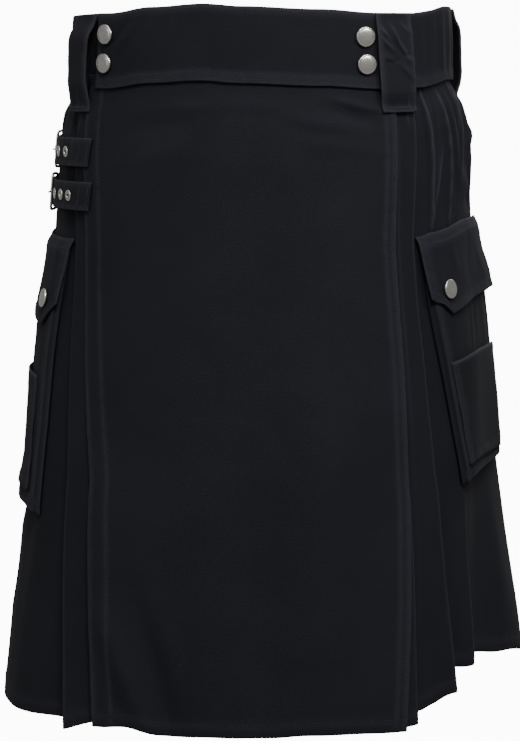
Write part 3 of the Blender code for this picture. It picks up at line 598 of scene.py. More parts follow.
def clothSheet(name, rows, look):
    distances = edgeDistances(rows)
    normals = gridNormals(rows)
    turned = look.get("turned", {})
    seams = look.get("seams", ())
    puckered(rows, normals, distances, seams)
    across = len(rows[0])
    shape = bmesh.new()
    bmesh.ops.create_grid(shape, x_segments=across - 1, y_segments=len(rows) - 1, size=1.0)
    shape.verts.ensure_lookup_table()
    weave = shape.loops.layers.uv.new("weave")
    middle = across // 2
    spots, weights, wearAndHighlightShares = {}, [], []
    for r, row in enumerate(rows):
        for c, point in enumerate(row):
            index = r * across + c
            shape.verts[index].co = point
            run = distances["left"][r]
            spots[index] = (run[c] - run[middle], -distances["top"][r][middle])
            fold = [1.0 - ramp(distances[e][r][c], w, w + 0.001) for e, w in turned.items()]
            weights.append(max(fold, default=0.0))
            nearEdge = min((distances[e][r][c] for e in turned), default=1.0)
            nearSeam = min((abs(distances[e][r][c] - offset) for e, offset in seams), default=1.0)
            # the tops of ridges get the paler colour as a painted highlight with a little wear, while edges
            # and seams get it as wear
            crest = 0.0
            if 0 < c < across - 1:
                before, after = row[c - 1], row[c + 1]
                half = 0.25 * (after - before).length_squared
                bend = (point - 0.5 * (before + after)).dot(normals[r][c]) / max(half, 1e-9)
                crest = sewing["crestHighlightAndWear"] * ramp(bend, 30.0, 230.0)
            seamRub, edgeRub = 1.0 - ramp(nearSeam, 0.0, 0.0040), 1.0 - ramp(nearEdge, 0.0, 0.0040)
            wearAndHighlightShares.append(max(edgeRub, 0.45 * seamRub, crest))
    for face in shape.faces:
        for loop in face.loops:
            loop[weave].uv = spots[loop.vert.index]
    shape.faces.ensure_lookup_table()
    shape.normal_update()
    centre = shape.faces[(len(rows) // 2) * (across - 1)]
    if centre.normal.dot(normals[len(rows) // 2][0]) < 0:
        bmesh.ops.reverse_faces(shape, faces=shape.faces)
    mesh = bpy.data.meshes.new(name)
    shape.to_mesh(mesh)
    shape.free()
    # the share of paler colour per point: wear at edges and seams, and painted highlight on ridge crests
    wearAndHighlight = mesh.attributes.new("wearAndHighlight", "FLOAT", "POINT")
    wearAndHighlight.data.foreach_set("value", wearAndHighlightShares)
    mesh.materials.append(look["material"])
    mesh.shade_smooth()
    piece = bpy.data.objects.new(name, mesh)
    bpy.context.scene.collection.objects.link(piece)
    thin = look["thickness"]
    wall = piece.modifiers.new("cloth thickness", "SOLIDIFY")
    wall.offset = 0.0
    wall.thickness = max(thin, look.get("turnedThickness", sewing["turnedThickness"]))
    if turned and wall.thickness > thin:
        group = piece.vertex_groups.new(name="turned cloth")
        for index, weight in enumerate(weights):
            group.add([index], weight, "REPLACE")
        wall.vertex_group = group.name
        wall.thickness_vertex_group = thin / wall.thickness
    else:
        wall.thickness = thin
    if "rounded" in look:
        rounding = piece.modifiers.new("rounded edge", "BEVEL")
        rounding.width = look["rounded"]
        rounding.segments = 2
        rounding.limit_method = "ANGLE"
        rounding.angle_limit = math.radians(60)
        rounding.harden_normals = False
    if "holes" in look:
        punchHoles(piece, look["holes"])
    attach(piece, "root")
    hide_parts(look["node"])
    longest = max(0.010, max(run[-1] for run in distances["left"]))
    tallest = max(distances["top"][-1])
    area = 0.0
    for above, below in zip(rows, rows[1:]):
        for c in range(across - 1):
            area += 0.5 * (below[c + 1] - above[c]).cross(below[c] - above[c + 1]).length
    area = min(area, longest * tallest)
    print(f"  {name}: cut {1000 * longest:.0f} x {1000 * tallest:.0f} mm, {area:.4f} m2")
    lift = 0.5 * max(thin, wall.thickness if turned else thin)
    return {"rows": rows, "normals": normals, "distances": distances, "lift": lift}


def seamPath(made, edge, offset, start=0.0, end=9.0):
    # a line on the outer face, at one distance from an edge, between two places along it
    rows, normals, distances = made["rows"], made["normals"], made["distances"]
    other = "top" if edge in ("left", "right") else "left"
    upright = edge in ("left", "right")
    count = len(rows) if upright else len(rows[0])
    width = len(rows[0]) if upright else len(rows)
    path = []
    for major in range(count):
        places = [(major, minor) if upright else (minor, major) for minor in range(width)]
        values = [distances[edge][r][c] for r, c in places]
        for index in range(width - 1):
            low, high = values[index], values[index + 1]
            if min(low, high) <= offset <= max(low, high) and low != high:
                share = (offset - low) / (high - low)
                (ra, ca), (rb, cb) = places[index], places[index + 1]
                along = mix(distances[other][ra][ca], distances[other][rb][cb], share)
                if start <= along <= end:
                    normal = normals[ra][ca].lerp(normals[rb][cb], share).normalized()
                    point = rows[ra][ca].lerp(rows[rb][cb], share)
                    path.append((point + normal * made["lift"], normal))
                break
    return path


def addStitches(shape, path, pitch, length, width, across=False):
    if len(path) < 2:
        return
    walked, due = 0.0, 0.5 * pitch
    for (first, firstNormal), (second, secondNormal) in zip(path, path[1:]):
        step = (second - first).length
        while step > 0 and due <= walked + step:
            share = (due - walked) / step
            along = (second - first).normalized()
            normal = firstNormal.lerp(secondNormal, share).normalized()
            side = normal.cross(along).normalized()
            if across:
                along, side = side, along
            turn = Matrix((along, side, normal)).transposed().to_4x4()
            size = Matrix.Diagonal(
                (0.5 * length, 0.5 * width, sewing["stitchHeight"], 1.0)
            )
            place = Matrix.Translation(first.lerp(second, share))
            bmesh.ops.create_icosphere(
                shape, subdivisions=1, radius=1.0, matrix=place @ turn @ size
            )
            due += pitch
        walked += step


def stitching(name, runs, bars=()):
    # runs are seam paths, and bars are bartacks: short, dense and sewn across
    shape = bmesh.new()
    for path in runs:
        addStitches(
            shape, path, sewing["stitchPitch"], sewing["stitchLength"], sewing["stitchWidth"]
        )
    for path in bars:
        addStitches(shape, path, 0.0009, 0.0024, 0.0009, across=True)
    mesh = bpy.data.meshes.new(name)
    shape.to_mesh(mesh)
    count = len(shape.faces)
    shape.free()
    mesh.materials.append(blackThread)
    mesh.shade_smooth()
    piece = bpy.data.objects.new(name, mesh)
    bpy.context.scene.collection.objects.link(piece)
    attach(piece, "root")
    print(f"  {name}: {count // 20} stitches")
    return piece


def edgeSeams(made, seams):
    return [seamPath(made, *seam) for seam in seams]


# Pleats, in degrees from a fold's edge and in metres of depth
pleats = {
    "turn": 0.6,
    "layer": 0.0030,
    "foot": 1.2,
    "shoulder": 3.2,
    "underlay": 8.0,
    "stitchEnd": 0.200,
    "splayOut": 0.008,
    "splayIn": 0.014,
    "sewnFlat": 0.12,
    "hipStep": 0.0022,
    "rowStep": 0.0044,
    "columnStep": 0.0040,
    "sideBackEdge": (108.0, 108.0, 109.0, 110.0),
    "backCount": 5,
    "firstBackEdge": 121.5,
    "lastBackEdge": 176.5,
}


def hipOpen(drop):
    return ramp(drop, pleats["stitchEnd"], form["length"] + 0.06)


def tuck(drop):
    return -0.0032 * (1.0 - ramp(drop, 0.066, 0.088))


def sideHollow(angle, drop):
    depth = tableAt(form["sideHollow"], drop)[0]
    return depth * ramp(angle, 37.0, 56.0) * (1.0 - ramp(angle, 76.0, 100.0))


def gathers(angle, drop):
    strength = ramp(drop, 0.060, 0.095) * (1.0 - ramp(drop, 0.150, 0.192))
    strength *= ramp(angle, 64.0, 70.0) * (1.0 - ramp(angle, 100.0, 106.0))
    wave = math.sin(math.radians(angle * 36.0)) + 0.5 * math.sin(math.radians(angle * 23.0 + 40.0))
    return 0.0011 * strength * wave


def sideOffset(angle, drop, frontEdge, onLeft):
    opened = hipOpen(drop)
    foot = frontEdge + pleats["foot"]
    span = mix(6.0, 20.0, opened)
    offset = -mix(0.0050, 0.0130, opened) * (1.0 - ramp(angle, foot, foot + span))
    backEdge = pleats["sideBackEdge"][0]
    offset += pleats["splayOut"] * opened * ramp(angle, backEdge - 18.0, backEdge)
    if onLeft:
        offset += gathers(angle, drop) - sideHollow(angle, drop)
        grown = ramp(drop, 0.425, form["length"])
        crest = ramp(angle, 59.0, 67.0) * (1.0 - ramp(angle, 68.0, 71.0))
        trough = ramp(angle, 68.0, 71.5) * (1.0 - ramp(angle, 73.0, 90.0))
        return offset + grown * (0.012 * crest - 0.007 * trough)
    fullness = tableAt(form["rightFullness"], drop)[0]
    return offset + fullness * ramp(angle, 58.0, 74.0) * (1.0 - ramp(angle, 88.0, 104.0))


def foldStations(edge, inner, nextFoot):
    # round the fold's nose, along the hidden underlay and back at the inner fold
    turn, layer = pleats["turn"], pleats["layer"]
    out, deep = pleats["splayOut"], -pleats["splayIn"]
    found = []
    for swing in (90, 45, 0, -45, -90):
        back = turn * (1.0 - math.cos(math.radians(swing)))
        down = 0.5 * layer * (1.0 - math.sin(math.radians(swing)))
        found.append(([value - back for value in edge], -down, out - down))
    found.append(([value + turn for value in inner], -layer, deep + layer))
    found.append((list(inner), -1.5 * layer, deep + 0.5 * layer))
    found.append(([value + turn for value in inner], -2.0 * layer, deep))
    return found + nextFoot


def foldLift(offset, drop):
    return 0.24 * max(pleats["splayOut"] - offset, 0.0) * ramp(drop, 0.42, form["length"])


def bodyDrops(end=0.610, coarser=1.0):
    # closer rows at the hip, where the creases run across
    start, hip = 0.052, 0.200
    upper = round((hip - start) / (pleats["hipStep"] * coarser))
    lower = round((end - hip) / (pleats["rowStep"] * coarser))
    drops = [mix(start, hip, index / upper) for index in range(upper)]
    return drops + [mix(hip, end, index / lower) for index in range(lower + 1)]


def spanSteps(stations):
    # how many steps each span gets, from its length at the hem
    steps = []
    for first, second in zip(stations, stations[1:]):
        degrees = max(abs(a - b) for a, b in zip(first[0], second[0]))
        length = max(degrees * 0.0038, abs(first[2] - second[2]))
        steps.append(max(1, math.ceil(length / pleats["columnStep"])))
    return steps


def stationRow(stations, steps, drop, side, hollowed):
    # the folds are sewn flat where the band holds their top edge
    opened, band = hipOpen(drop), form["bandHeight"]
    flat = mix(pleats["sewnFlat"], 1.0, ramp(drop, band - 0.010, band + 0.003))
    corners = [(atMarks(a, drop), flat * mix(closed, hem, opened)) for a, closed, hem in stations]
    fine = [corners[0]]
    for (startAngle, startOut), (endAngle, endOut), count in zip(corners, corners[1:], steps):
        for index in range(1, count + 1):
            share = index / count
            fine.append((mix(startAngle, endAngle, share), mix(startOut, endOut, share)))
    row = []
    for angle, out in fine:
        hollow = sideHollow(angle, drop) if hollowed else 0.0
        offset = out + tuck(drop)
        point = formPoint(angle * side, drop, offset - hollow)
        point.z += foldLift(offset - hollow, drop)
        row.append(point)
    return row


sidePanels = {
    "left": {
        "start": (40.0, 36.5, 33.0, 32.0),
        "folds": (
            {"edge": (52.0, 47.0, 42.8, 42.6), "inner": (44.5, 40.0, 36.5, 35.5)},
            {"edge": (62.0, 55.5, 53.8, 58.6), "inner": (57.0, 51.6, 49.0, 51.6)},
        ),
    },
    "right": {
        "start": (43.0, 37.5, 30.5, 27.5),
        "folds": ({"edge": (68.0, 56.8, 45.6, 40.0), "inner": (60.0, 49.0, 38.5, 34.5)},),
    },
    "faceSteps": 112,
}


def sideSheet(label, side):
    panel = sidePanels[label]
    folds, onLeft = panel["folds"], side > 0
    middle = [mix(a, b, 0.5) for a, b in zip(panel["start"], folds[0]["edge"])]
    stations = [(list(panel["start"]), 0.0, -0.001), (middle, 0.0, 0.002)]
    for index, fold in enumerate(folds):
        foot = []
        if index + 1 < len(folds):
            edge = fold["edge"]
            foot = [
                ([value + pleats["foot"] for value in edge], -0.0050, -0.007),
                ([value + pleats["shoulder"] for value in edge], -0.0006, -0.002),
            ]
        stations += foldStations(fold["edge"], fold["inner"], foot)
    steps = spanSteps(stations)
    layer, out = pleats["layer"], pleats["splayOut"]
    rows = []
    for drop in bodyDrops():
        row = stationRow(stations, steps, drop, side, onLeft)
        edge = atMarks(folds[-1]["edge"], drop)
        backEdge = atMarks(pleats["sideBackEdge"], drop)
        opened = hipOpen(drop)
        face = []
        for index in range(sidePanels["faceSteps"]):
            share = index / (sidePanels["faceSteps"] - 1)
            angle = mix(edge + pleats["foot"], backEdge - 3.0, share**1.12)
            face.append((angle, sideOffset(angle, drop, edge, onLeft)))
        face.append((backEdge - 1.8, mix(0.0, out, opened)))
        for swing in (90, 45, 0, -45, -90):
            back = pleats["turn"] * (1.0 - math.cos(math.radians(swing)))
            down = 0.5 * layer * (1.0 - math.sin(math.radians(swing)))
            face.append((backEdge - back, mix(0.0, out, opened) - down))
        under = mix(-layer, -pleats["splayIn"] + layer, opened)
        start = mix(0.0, out, opened) - layer
        for index in range(1, 8):
            share = index / 7
            face.append((backEdge - mix(pleats["turn"], pleats["underlay"], share), mix(start, under, share)))
        for angle, offset in face:
            point = formPoint(angle * side, drop, offset + tuck(drop))
            point.z += foldLift(offset + tuck(drop), drop)
            row.append(point)
        rows.append(row)
    return clothSheet(
        f"sidePanel{label.capitalize()}Cloth",
        rows,
        {
            "node": f"side_panel_{label}",
            "slot": "twill",
            "material": blackTwill,
            "thickness": form["cloth"],
            "turned": {"bottom": 0.012},
            "seams": (("bottom", 0.0105),),
            "held": "gathered",
            "restsOn": ["waistband_back"],
        },
    )


def backSheet(label, side):
    count = pleats["backCount"]
    spacing = (pleats["lastBackEdge"] - pleats["firstBackEdge"]) / (count - 1)
    layer = pleats["layer"]
    under = -layer - form["cloth"] - form["seamGap"]
    start = [value - pleats["underlay"] + 0.5 for value in pleats["sideBackEdge"]]
    stations = [
        (start, under, -pleats["splayIn"] + layer - form["cloth"] - form["seamGap"]),
        ([value + pleats["foot"] for value in pleats["sideBackEdge"]], under, -0.004),
    ]
    for index in range(count):
        edge = [pleats["firstBackEdge"] + spacing * index] * len(form["marks"])
        inner = [value - pleats["underlay"] for value in edge]
        stations.append(
            ([value - spacing + pleats["shoulder"] for value in edge], -0.0006, -0.001)
        )
        foot = [([value + pleats["foot"] for value in edge], -0.0050, -0.006)]
        stations += foldStations(edge, inner, [] if index == count - 1 else foot)
    stations.append(([180.0] * len(form["marks"]), -2.0 * layer, -pleats["splayIn"]))
    steps = spanSteps(stations)
    rows = [stationRow(stations, steps, drop, side, False) for drop in bodyDrops()]
    return clothSheet(
        f"backPleats{label.capitalize()}Cloth",
        rows,
        {
            "node": f"back_pleats_{label}",
            "slot": "twill",
            "material": blackTwill,
            "thickness": form["cloth"],
            "turned": {"bottom": 0.012},
            "seams": (("bottom", 0.0105),),
            "held": "gathered",
            "restsOn": ["waistband_back"],
        },
    )


for label, side in (("left", 1), ("right", -1)):
    made = sideSheet(label, side)
    stitching(f"sidePanel{label.capitalize()}HemStitches", edgeSeams(made, [("bottom", 0.0105)]))
    made = backSheet(label, side)
    stitching(f"backPleats{label.capitalize()}HemStitches", edgeSeams(made, [("bottom", 0.0105)]))
print("pleated panels made")

aprons = {
    "freeEdge": (-62.0, -51.2, -36.8, -32.2),
    "sewnEdge": (55.0, 47.0, 41.8, 38.7),
    "underRight": (-47.0, -41.5, -34.0, -31.0),
    "underLeft": (33.0, 32.0, 29.0, 28.0),
    "steps": 150,
    "bartackDrop": 0.2180,
}


def apronOffset(angle, drop):
    hang = ramp(drop, 0.22, form["length"])
    edge = atMarks(aprons["freeEdge"], drop)
    strip = (1.0 - ramp(angle, edge, edge + 9.0)) * 0.0030 * ramp(drop, 0.25, 0.45)
    sewn = ramp(angle, 30.0, 40.0)
    return apronOut + hang * mix(0.0060, 0.0095, sewn) + strip


def underApronOffset(angle, drop):
    hang = ramp(drop, 0.22, form["length"])
    return -form["cloth"] - 0.0009 + tuck(drop) - 0.0040 * hang


def apronSheet(name, node, edges, offsetAt, drops, steps, seams, turned):
    rows = []
    for drop in drops:
        first, last = atMarks(edges[0], drop), atMarks(edges[1], drop)
        angles = [mix(first, last, index / steps) for index in range(steps + 1)]
        rows.append([formPoint(angle, drop, offsetAt(angle, drop)) for angle in angles])
    return clothSheet(
        name,
        rows,
        {
            "node": node,
            "slot": "twill",
            "material": blackTwill,
            "thickness": form["cloth"],
            "turned": turned,
            "seams": seams,
            "held": "hung",
            "restsOn": ["waistband_front"],
        },
    )


made = apronSheet(
    "apronOuterCloth",
    "apron_outer",
    (aprons["freeEdge"], aprons["sewnEdge"]),
    apronOffset,
    bodyDrops(),
    aprons["steps"],
    (("left", 0.0025), ("left", 0.0180), ("right", 0.0030), ("right", 0.0095), ("bottom", 0.0105)),
    {"left": 0.019, "right": 0.0105, "bottom": 0.012},
)
sewnTo = aprons["bartackDrop"] - 0.052
stitching(
    "apronOuterStitches",
    edgeSeams(
        made,
        [
            ("left", 0.0025, 0.014),
            ("left", 0.0180, 0.014),
            ("right", 0.0030, 0.014),
            ("right", 0.0095, 0.014, sewnTo),
            ("bottom", 0.0105),
        ],
    ),
)
made = apronSheet(
    "apronUnderCloth",
    "apron_under",
    (aprons["underRight"], aprons["underLeft"]),
    underApronOffset,
    bodyDrops(0.606, 2.2),
    36,
    (("left", 0.0030), ("bottom", 0.0105)),
    {"left": 0.010, "bottom": 0.012},
)
print("aprons made")

bands = {
    "front": (-57.0, 57.0),
    "back": (57.3, 297.8),
    "under": (-62.0, 33.0),
    "ripple": 0.0009,
    "underOut": tuck(0.0)
    + 0.5 * form["cloth"]
    + form["seamGap"]
    + 0.0002
    + 0.5 * form["bandCloth"],
    "rows": 17,
    "pressed": 0.00035,  # a shallow press line where the band is folded and sewn
}


def bandStep(angle):
    return 0.0030 * (1.0 - ramp(angle, 58.0, 72.0))


def bandRipple(angle, drop):
    # fine upright gathers of the elastic, no two alike, flat at the two sewn edges
    turned = angle % 360.0
    strength = ramp(turned, 60.0, 70.0) * (1.0 - ramp(turned, 286.0, 296.0))
    edge = math.sin(math.pi * min(max(drop / form["bandHeight"], 0.0), 1.0)) ** 0.7
    drift = 14.0 * noise.noise(Vector((turned * 0.35, drop * 14.0, 2.2)))
    uneven = 0.72 + 0.55 * noise.noise(Vector((turned * 0.55, drop * 20.0, 6.4)))
    wave = 1.0 + math.cos(math.radians(turned * 60.0 + 3.0 * drift))
    return bands["ripple"] * strength * edge * wave * min(max(uneven, 0.2), 1.0)


def bandSheet(name, node, ends, steps, offsetAt, seams, held):
    rows = []
    for index in range(bands["rows"]):
        drop = form["bandHeight"] * index / (bands["rows"] - 1)
        angles = [mix(ends[0], ends[1], step / steps) for step in range(steps + 1)]
        rows.append([formPoint(angle, drop, offsetAt(angle, drop)) for angle in angles])
    return clothSheet(
        name,
        rows,
        {
            "node": node,
            "slot": "twill",
            "material": blackTwill,
            "thickness": form["bandCloth"],
            "turnedThickness": form["bandCloth"],
            "rounded": 0.0008,
            "turned": {"top": 0.006, "bottom": 0.010},
            "seams": seams,
            "held": held,
            "restsOn": ["apron_outer"],
        },
    )


frontBand = bandSheet(
    "waistbandFrontCloth",
    "waistband_front",
    bands["front"],
    150,
    lambda angle, drop: bandFrontOut,
    (("bottom", 0.0028), ("bottom", 0.0080), ("top", 0.0030), ("left", 0.0030), ("right", 0.0030)),
    "stretched",
)
stitching(
    "waistbandFrontStitches",
    edgeSeams(
        frontBand,
        [("bottom", 0.0028), ("bottom", 0.0080), ("top", 0.0030), ("left", 0.0030)],
    ),
)
backBand = bandSheet(
    "waistbandBackCloth",
    "waistband_back",
    bands["back"],
    520,
    lambda angle, drop: bands["underOut"] + bandStep(angle) + bandRipple(angle, drop),
    (("bottom", 0.0030), ("bottom", 0.0085)),
    "gathered",
)
stitching(
    "waistbandBackStitches",
    edgeSeams(backBand, [("bottom", 0.0030), ("bottom", 0.0085)]),
)
bandSheet(
    "waistbandUnderCloth",
    "waistband_under",
    bands["under"],
    80,
    lambda angle, drop: bands["underOut"],
    (("bottom", 0.0028), ("top", 0.0030), ("left", 0.0030)),
    "stretched",
)
print("waistband made")

# The cargo pockets stand off the pocket panels as shallow boxes, with a rim along the front
pockets = {
    "top": 0.2045,
    "bottom": (0.4370, 0.4225),
    "front": {"left": (58.8, 67.0), "right": (60.0, 57.0)},
    "back": (94.0, 93.0),
    "wall": 0.0052,
    "bulge": 0.0016,
    "seat": form["cloth"] + 0.0010,
    "rim": 0.0007,
    "flapTop": (0.1940, 0.1890),
    "flapFront": {"left": (57.0, 58.5), "right": (59.2, 58.6)},
    "flapBack": (95.5, 95.5),
    "flapFrontDrop": 0.2500,
    "flapPointDrop": 0.2700,
    "flapBackDrop": 0.2560,
    "flapPointAt": 0.165,
    "flapLift": 0.0035,
    "patchTop": (0.3155, 0.3110),
    "patchBottom": (0.4180, 0.4120),
    "patchFront": {"left": (62.2, 67.2), "right": (64.5, 62.0)},
    "patchBack": (92.8, 92.0),
    "snapDown": 0.70,
    "creases": (
        # across, down, to across, to down, half width, height
        (0.56, 0.20, 0.47, 0.56, 0.0035, 0.0012),
        (0.62, 0.16, 0.56, 0.50, 0.0040, -0.0009),
        (0.20, 0.30, 0.14, 0.80, 0.0050, 0.0006),
        (0.80, 0.25, 0.84, 0.50, 0.0060, 0.0007),
        (0.35, 0.88, 0.75, 0.93, 0.0050, -0.0005),
    ),
    "flapCreases": (
        (0.30, 0.18, 0.34, 0.60, 0.0036, 0.0009),
        (0.62, 0.20, 0.50, 0.70, 0.0050, -0.0007),
        (0.75, 0.30, 0.82, 0.85, 0.0050, 0.0007),
        (0.08, 0.30, 0.12, 0.75, 0.0030, 0.0006),
    ),
}


def localCrease(rows, across, down, width, height):
    total = 0.0
    for fromAcross, fromDown, toAcross, toDown, halfWidth, lift in rows:
        runX, runY = (toAcross - fromAcross) * width, (toDown - fromDown) * height
        hereX, hereY = (across - fromAcross) * width, (down - fromDown) * height
        share = (hereX * runX + hereY * runY) / (runX * runX + runY * runY)
        held = min(max(share, 0.0), 1.0)
        away = (hereX - held * runX) ** 2 + (hereY - held * runY) ** 2
        total += lift * math.exp(-away / halfWidth**2) * (0.3 + 0.7 * math.sin(math.pi * held))
    return total


def pocketFace(across, down):
    middle = math.sin(math.pi * min(max(across, 0.0), 1.0))
    full = mix(0.25, 1.0, ramp(down, 0.0, 0.30))
    return pockets["seat"] + full * (pockets["wall"] + pockets["bulge"] * middle)


def pocketFront(label, down):
    return mix(*pockets["front"][label], down**1.8)


def overPocket(label, angle, drop):
    down = (drop - pockets["top"]) / (mix(*pockets["bottom"], 0.5) - pockets["top"])
    down = min(max(down, 0.0), 1.0)
    front, back = pocketFront(label, down), mix(*pockets["back"], down)
    across = (angle - front) / (back - front)
    return pocketFace(across, down) + form["cloth"] + form["seamGap"] + 0.0003


def evenShares(steps, extra=()):
    return sorted({index / steps for index in range(steps + 1)} | set(extra))


def pocketPieces(label, side):
    frontEdge = sidePanels[label]["folds"][-1]["edge"]

    def onPanel(angle, drop, standoff):
        base = sideOffset(angle, drop, atMarks(frontEdge, drop), side > 0)
        return formPoint(angle * side, drop, base + tuck(drop) + standoff)

    def bodyAt(across, down):
        angle = mix(pocketFront(label, down), mix(*pockets["back"], down), across)
        edge = ramp(across, 0.0, 0.03) * (1.0 - ramp(across, 0.97, 1.0))
        edge *= 1.0 - ramp(down, 0.985, 1.0)
        rim = math.exp(-(((across - 0.045) / 0.022) ** 2)) * ramp(down, 0.25, 0.4)
        hem = math.exp(-(((down - 0.962) / 0.016) ** 2)) * 0.6
        lift = pockets["rim"] * max(rim, hem)
        lift += localCrease(pockets["creases"], across, down, 0.125, 0.228)
        out = mix(pockets["seat"], pocketFace(across, down) + lift, edge)
        bottom = mix(*pockets["bottom"], across)
        return onPanel(angle, mix(pockets["top"], bottom, down), out)

    def flapAt(across, down):
        angle = mix(
            mix(*pockets["flapFront"][label], down), mix(*pockets["flapBack"], down), across
        )
        if across < pockets["flapPointAt"]:
            share = across / pockets["flapPointAt"]
            bottom = mix(pockets["flapFrontDrop"], pockets["flapPointDrop"], share)
        else:
            share = (across - pockets["flapPointAt"]) / (1.0 - pockets["flapPointAt"])
            bottom = mix(pockets["flapPointDrop"], pockets["flapBackDrop"], share)
        drop = mix(mix(*pockets["flapTop"], across), bottom, down)
        lift = pockets["flapLift"] * ramp(across, 0.55, 1.0) * ramp(down, 0.25, 1.0)
        lift += localCrease(pockets["flapCreases"], across, down, 0.125, 0.070)
        hang = overPocket(label, angle, drop) + 0.0012 * down + lift
        return onPanel(angle, drop, mix(pockets["seat"], hang, ramp(down, 0.0, 0.16)))

    def patchAt(across, down):
        angle = mix(
            mix(*pockets["patchFront"][label], down), mix(*pockets["patchBack"], down), across
        )
        top, bottom = mix(*pockets["patchTop"], across), mix(*pockets["patchBottom"], across)
        drop = mix(top, bottom, down)
        slack = 0.0022 * math.sin(math.pi * across) * (1.0 - down) ** 1.5
        return onPanel(angle, drop, overPocket(label, angle, drop) + slack)

    shared = {"slot": "twill", "material": blackTwill, "thickness": form["cloth"], "held": "hung"}

    def pocketSheet(kind, node, pointAt, across, down, look):
        rows = [[pointAt(a, d) for a in across] for d in down]
        name = f"{kind}{label.capitalize()}"
        made = clothSheet(f"{name}Cloth", rows, {**shared, **look, "node": f"{node}_{label}"})
        stitching(f"{name}Stitches", edgeSeams(made, look["seams"]))

    pocketSheet(
        "pocket",
        "pocket",
        bodyAt,
        evenShares(34, (0.01, 0.02, 0.04, 0.05, 0.96, 0.98, 0.99)),
        evenShares(56, (0.985, 0.992)),
        {
            "turned": {"left": 0.010, "right": 0.010, "bottom": 0.013},
            "turnedThickness": 0.0019,
            "seams": (("left", 0.0100), ("bottom", 0.0080), ("bottom", 0.0130), ("right", 0.0100)),
            "restsOn": [f"side_panel_{label}"],
        },
    )
    pocketSheet(
        "pocketFlap",
        "pocket_flap",
        flapAt,
        evenShares(36, (pockets["flapPointAt"],)),
        evenShares(24, (0.06, 0.12)),
        {
            "thickness": 0.0019,
            "turnedThickness": 0.0022,
            "rounded": 0.0006,
            "turned": {"left": 0.006, "right": 0.006, "bottom": 0.006, "top": 0.010},
            "seams": (
                ("top", 0.0030),
                ("top", 0.0100),
                ("left", 0.0028),
                ("left", 0.0065),
                ("right", 0.0028),
                ("right", 0.0065),
                ("bottom", 0.0028),
                ("bottom", 0.0065),
            ),
            "restsOn": [f"side_panel_{label}"],
        },
    )
    pocketSheet(
        "patchPocket",
        "patch_pocket",
        patchAt,
        evenShares(30),
        evenShares(28),
        {
            "turned": {"top": 0.016, "left": 0.008, "right": 0.008, "bottom": 0.008},
            "turnedThickness": 0.0019,
            "seams": (
                ("left", 0.0022),
                ("left", 0.0065),
                ("right", 0.0022),
                ("bottom", 0.0022),
                ("bottom", 0.0065),
            ),
            "restsOn": [f"pocket_{label}"],
        },
    )
    step = 0.02
    place = (pockets["flapPointAt"], pockets["snapDown"])
    here = flapAt(*place)
    along = (flapAt(place[0] + step, place[1]) - flapAt(place[0] - step, place[1])).normalized()
    fall = (flapAt(place[0], place[1] + step) - flapAt(place[0], place[1] - step)).normalized()
    normal = fall.cross(along).normalized()
    if normal.dot(Vector((here.x, here.y, 0.0))) < 0:
        normal.negate()
    turn = Matrix((along, normal.cross(along), normal)).transposed().to_4x4()
    return Matrix.Translation(here + normal * (0.5 * form["cloth"] + 0.0008)) @ turn


def spunMetal(name, node, profile, seat, steps):
    # a profile of (radius, height) pairs turned once round its own upright
    shape = bmesh.new()
    points = [shape.verts.new((radius, 0.0, height)) for radius, height in profile]
    edges = [shape.edges.new(pair) for pair in zip(points, points[1:])]
    bmesh.ops.spin(
        shape,
        geom=points + edges,
        axis=(0, 0, 1),
        cent=(0, 0, 0),
        angle=math.tau,
        steps=steps,
        use_merge=True,
    )
    bmesh.ops.remove_doubles(shape, verts=shape.verts, dist=1e-6)
    bmesh.ops.dissolve_degenerate(shape, edges=shape.edges, dist=1e-7)
    bmesh.ops.recalc_face_normals(shape, faces=shape.faces)
    bmesh.ops.transform(shape, matrix=seat, verts=shape.verts)
    mesh = bpy.data.meshes.new(name)
    shape.to_mesh(mesh)
    shape.free()
    mesh.materials.append(nickelPlate)
    mesh.shade_smooth()
    piece = bpy.data.objects.new(name, mesh)
    bpy.context.scene.collection.objects.link(piece)
    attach(piece, "root")
    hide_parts(node)
    return piece


# Stamped snap caps: a shallow dome inside a rolled rim
snapCap = {
    "radius": 0.0085,
    "profile": (
        # radius, height
        (0.0000, 0.00340),
        (0.0020, 0.00338),
        (0.0040, 0.00328),
        (0.0056, 0.00308),
        (0.0064, 0.00290),
        (0.0068, 0.00268),
        (0.0071, 0.00262),
        (0.0075, 0.00272),
        (0.0079, 0.00262),
        (0.0083, 0.00220),
        (0.0085, 0.00150),
        (0.0085, 0.00080),
        (0.0082, 0.00030),
        (0.0078, 0.00000),
        (0.0000, 0.00000),
    ),
    "onBand": (
        # node, angle, drop
        ("snap_right_upper", -53.0, 0.0180),
        ("snap_right_lower", -53.0, 0.0425),
        ("snap_left_upper", 45.0, 0.0205),
        ("snap_left_lower", 45.0, 0.0435),
    ),
}


def frameOnForm(angle, drop, out):
    normal = formNormal(angle, drop)
    along = Vector((-normal.y, normal.x, 0.0))
    turn = Matrix((along, normal.cross(along), normal)).transposed()
    return Matrix.Translation(formPoint(angle, drop, out)) @ turn.to_4x4()


def camel(node):
    first, *rest = node.split("_")
    return first + "".join(word.capitalize() for word in rest)


for label, side in (("left", 1), ("right", -1)):
    seat = pocketPieces(label, side)
    spunMetal(f"snapPocket{label.capitalize()}Cap", f"snap_pocket_{label}", snapCap["profile"], seat, 40)
for node, angle, drop in snapCap["onBand"]:
    seat = frameOnForm(angle, drop, bandFrontOut + 0.5 * form["bandCloth"] + form["seamGap"])
    spunMetal(f"{camel(node)}Cap", node, snapCap["profile"], seat, 40)
print("pockets and snaps made")

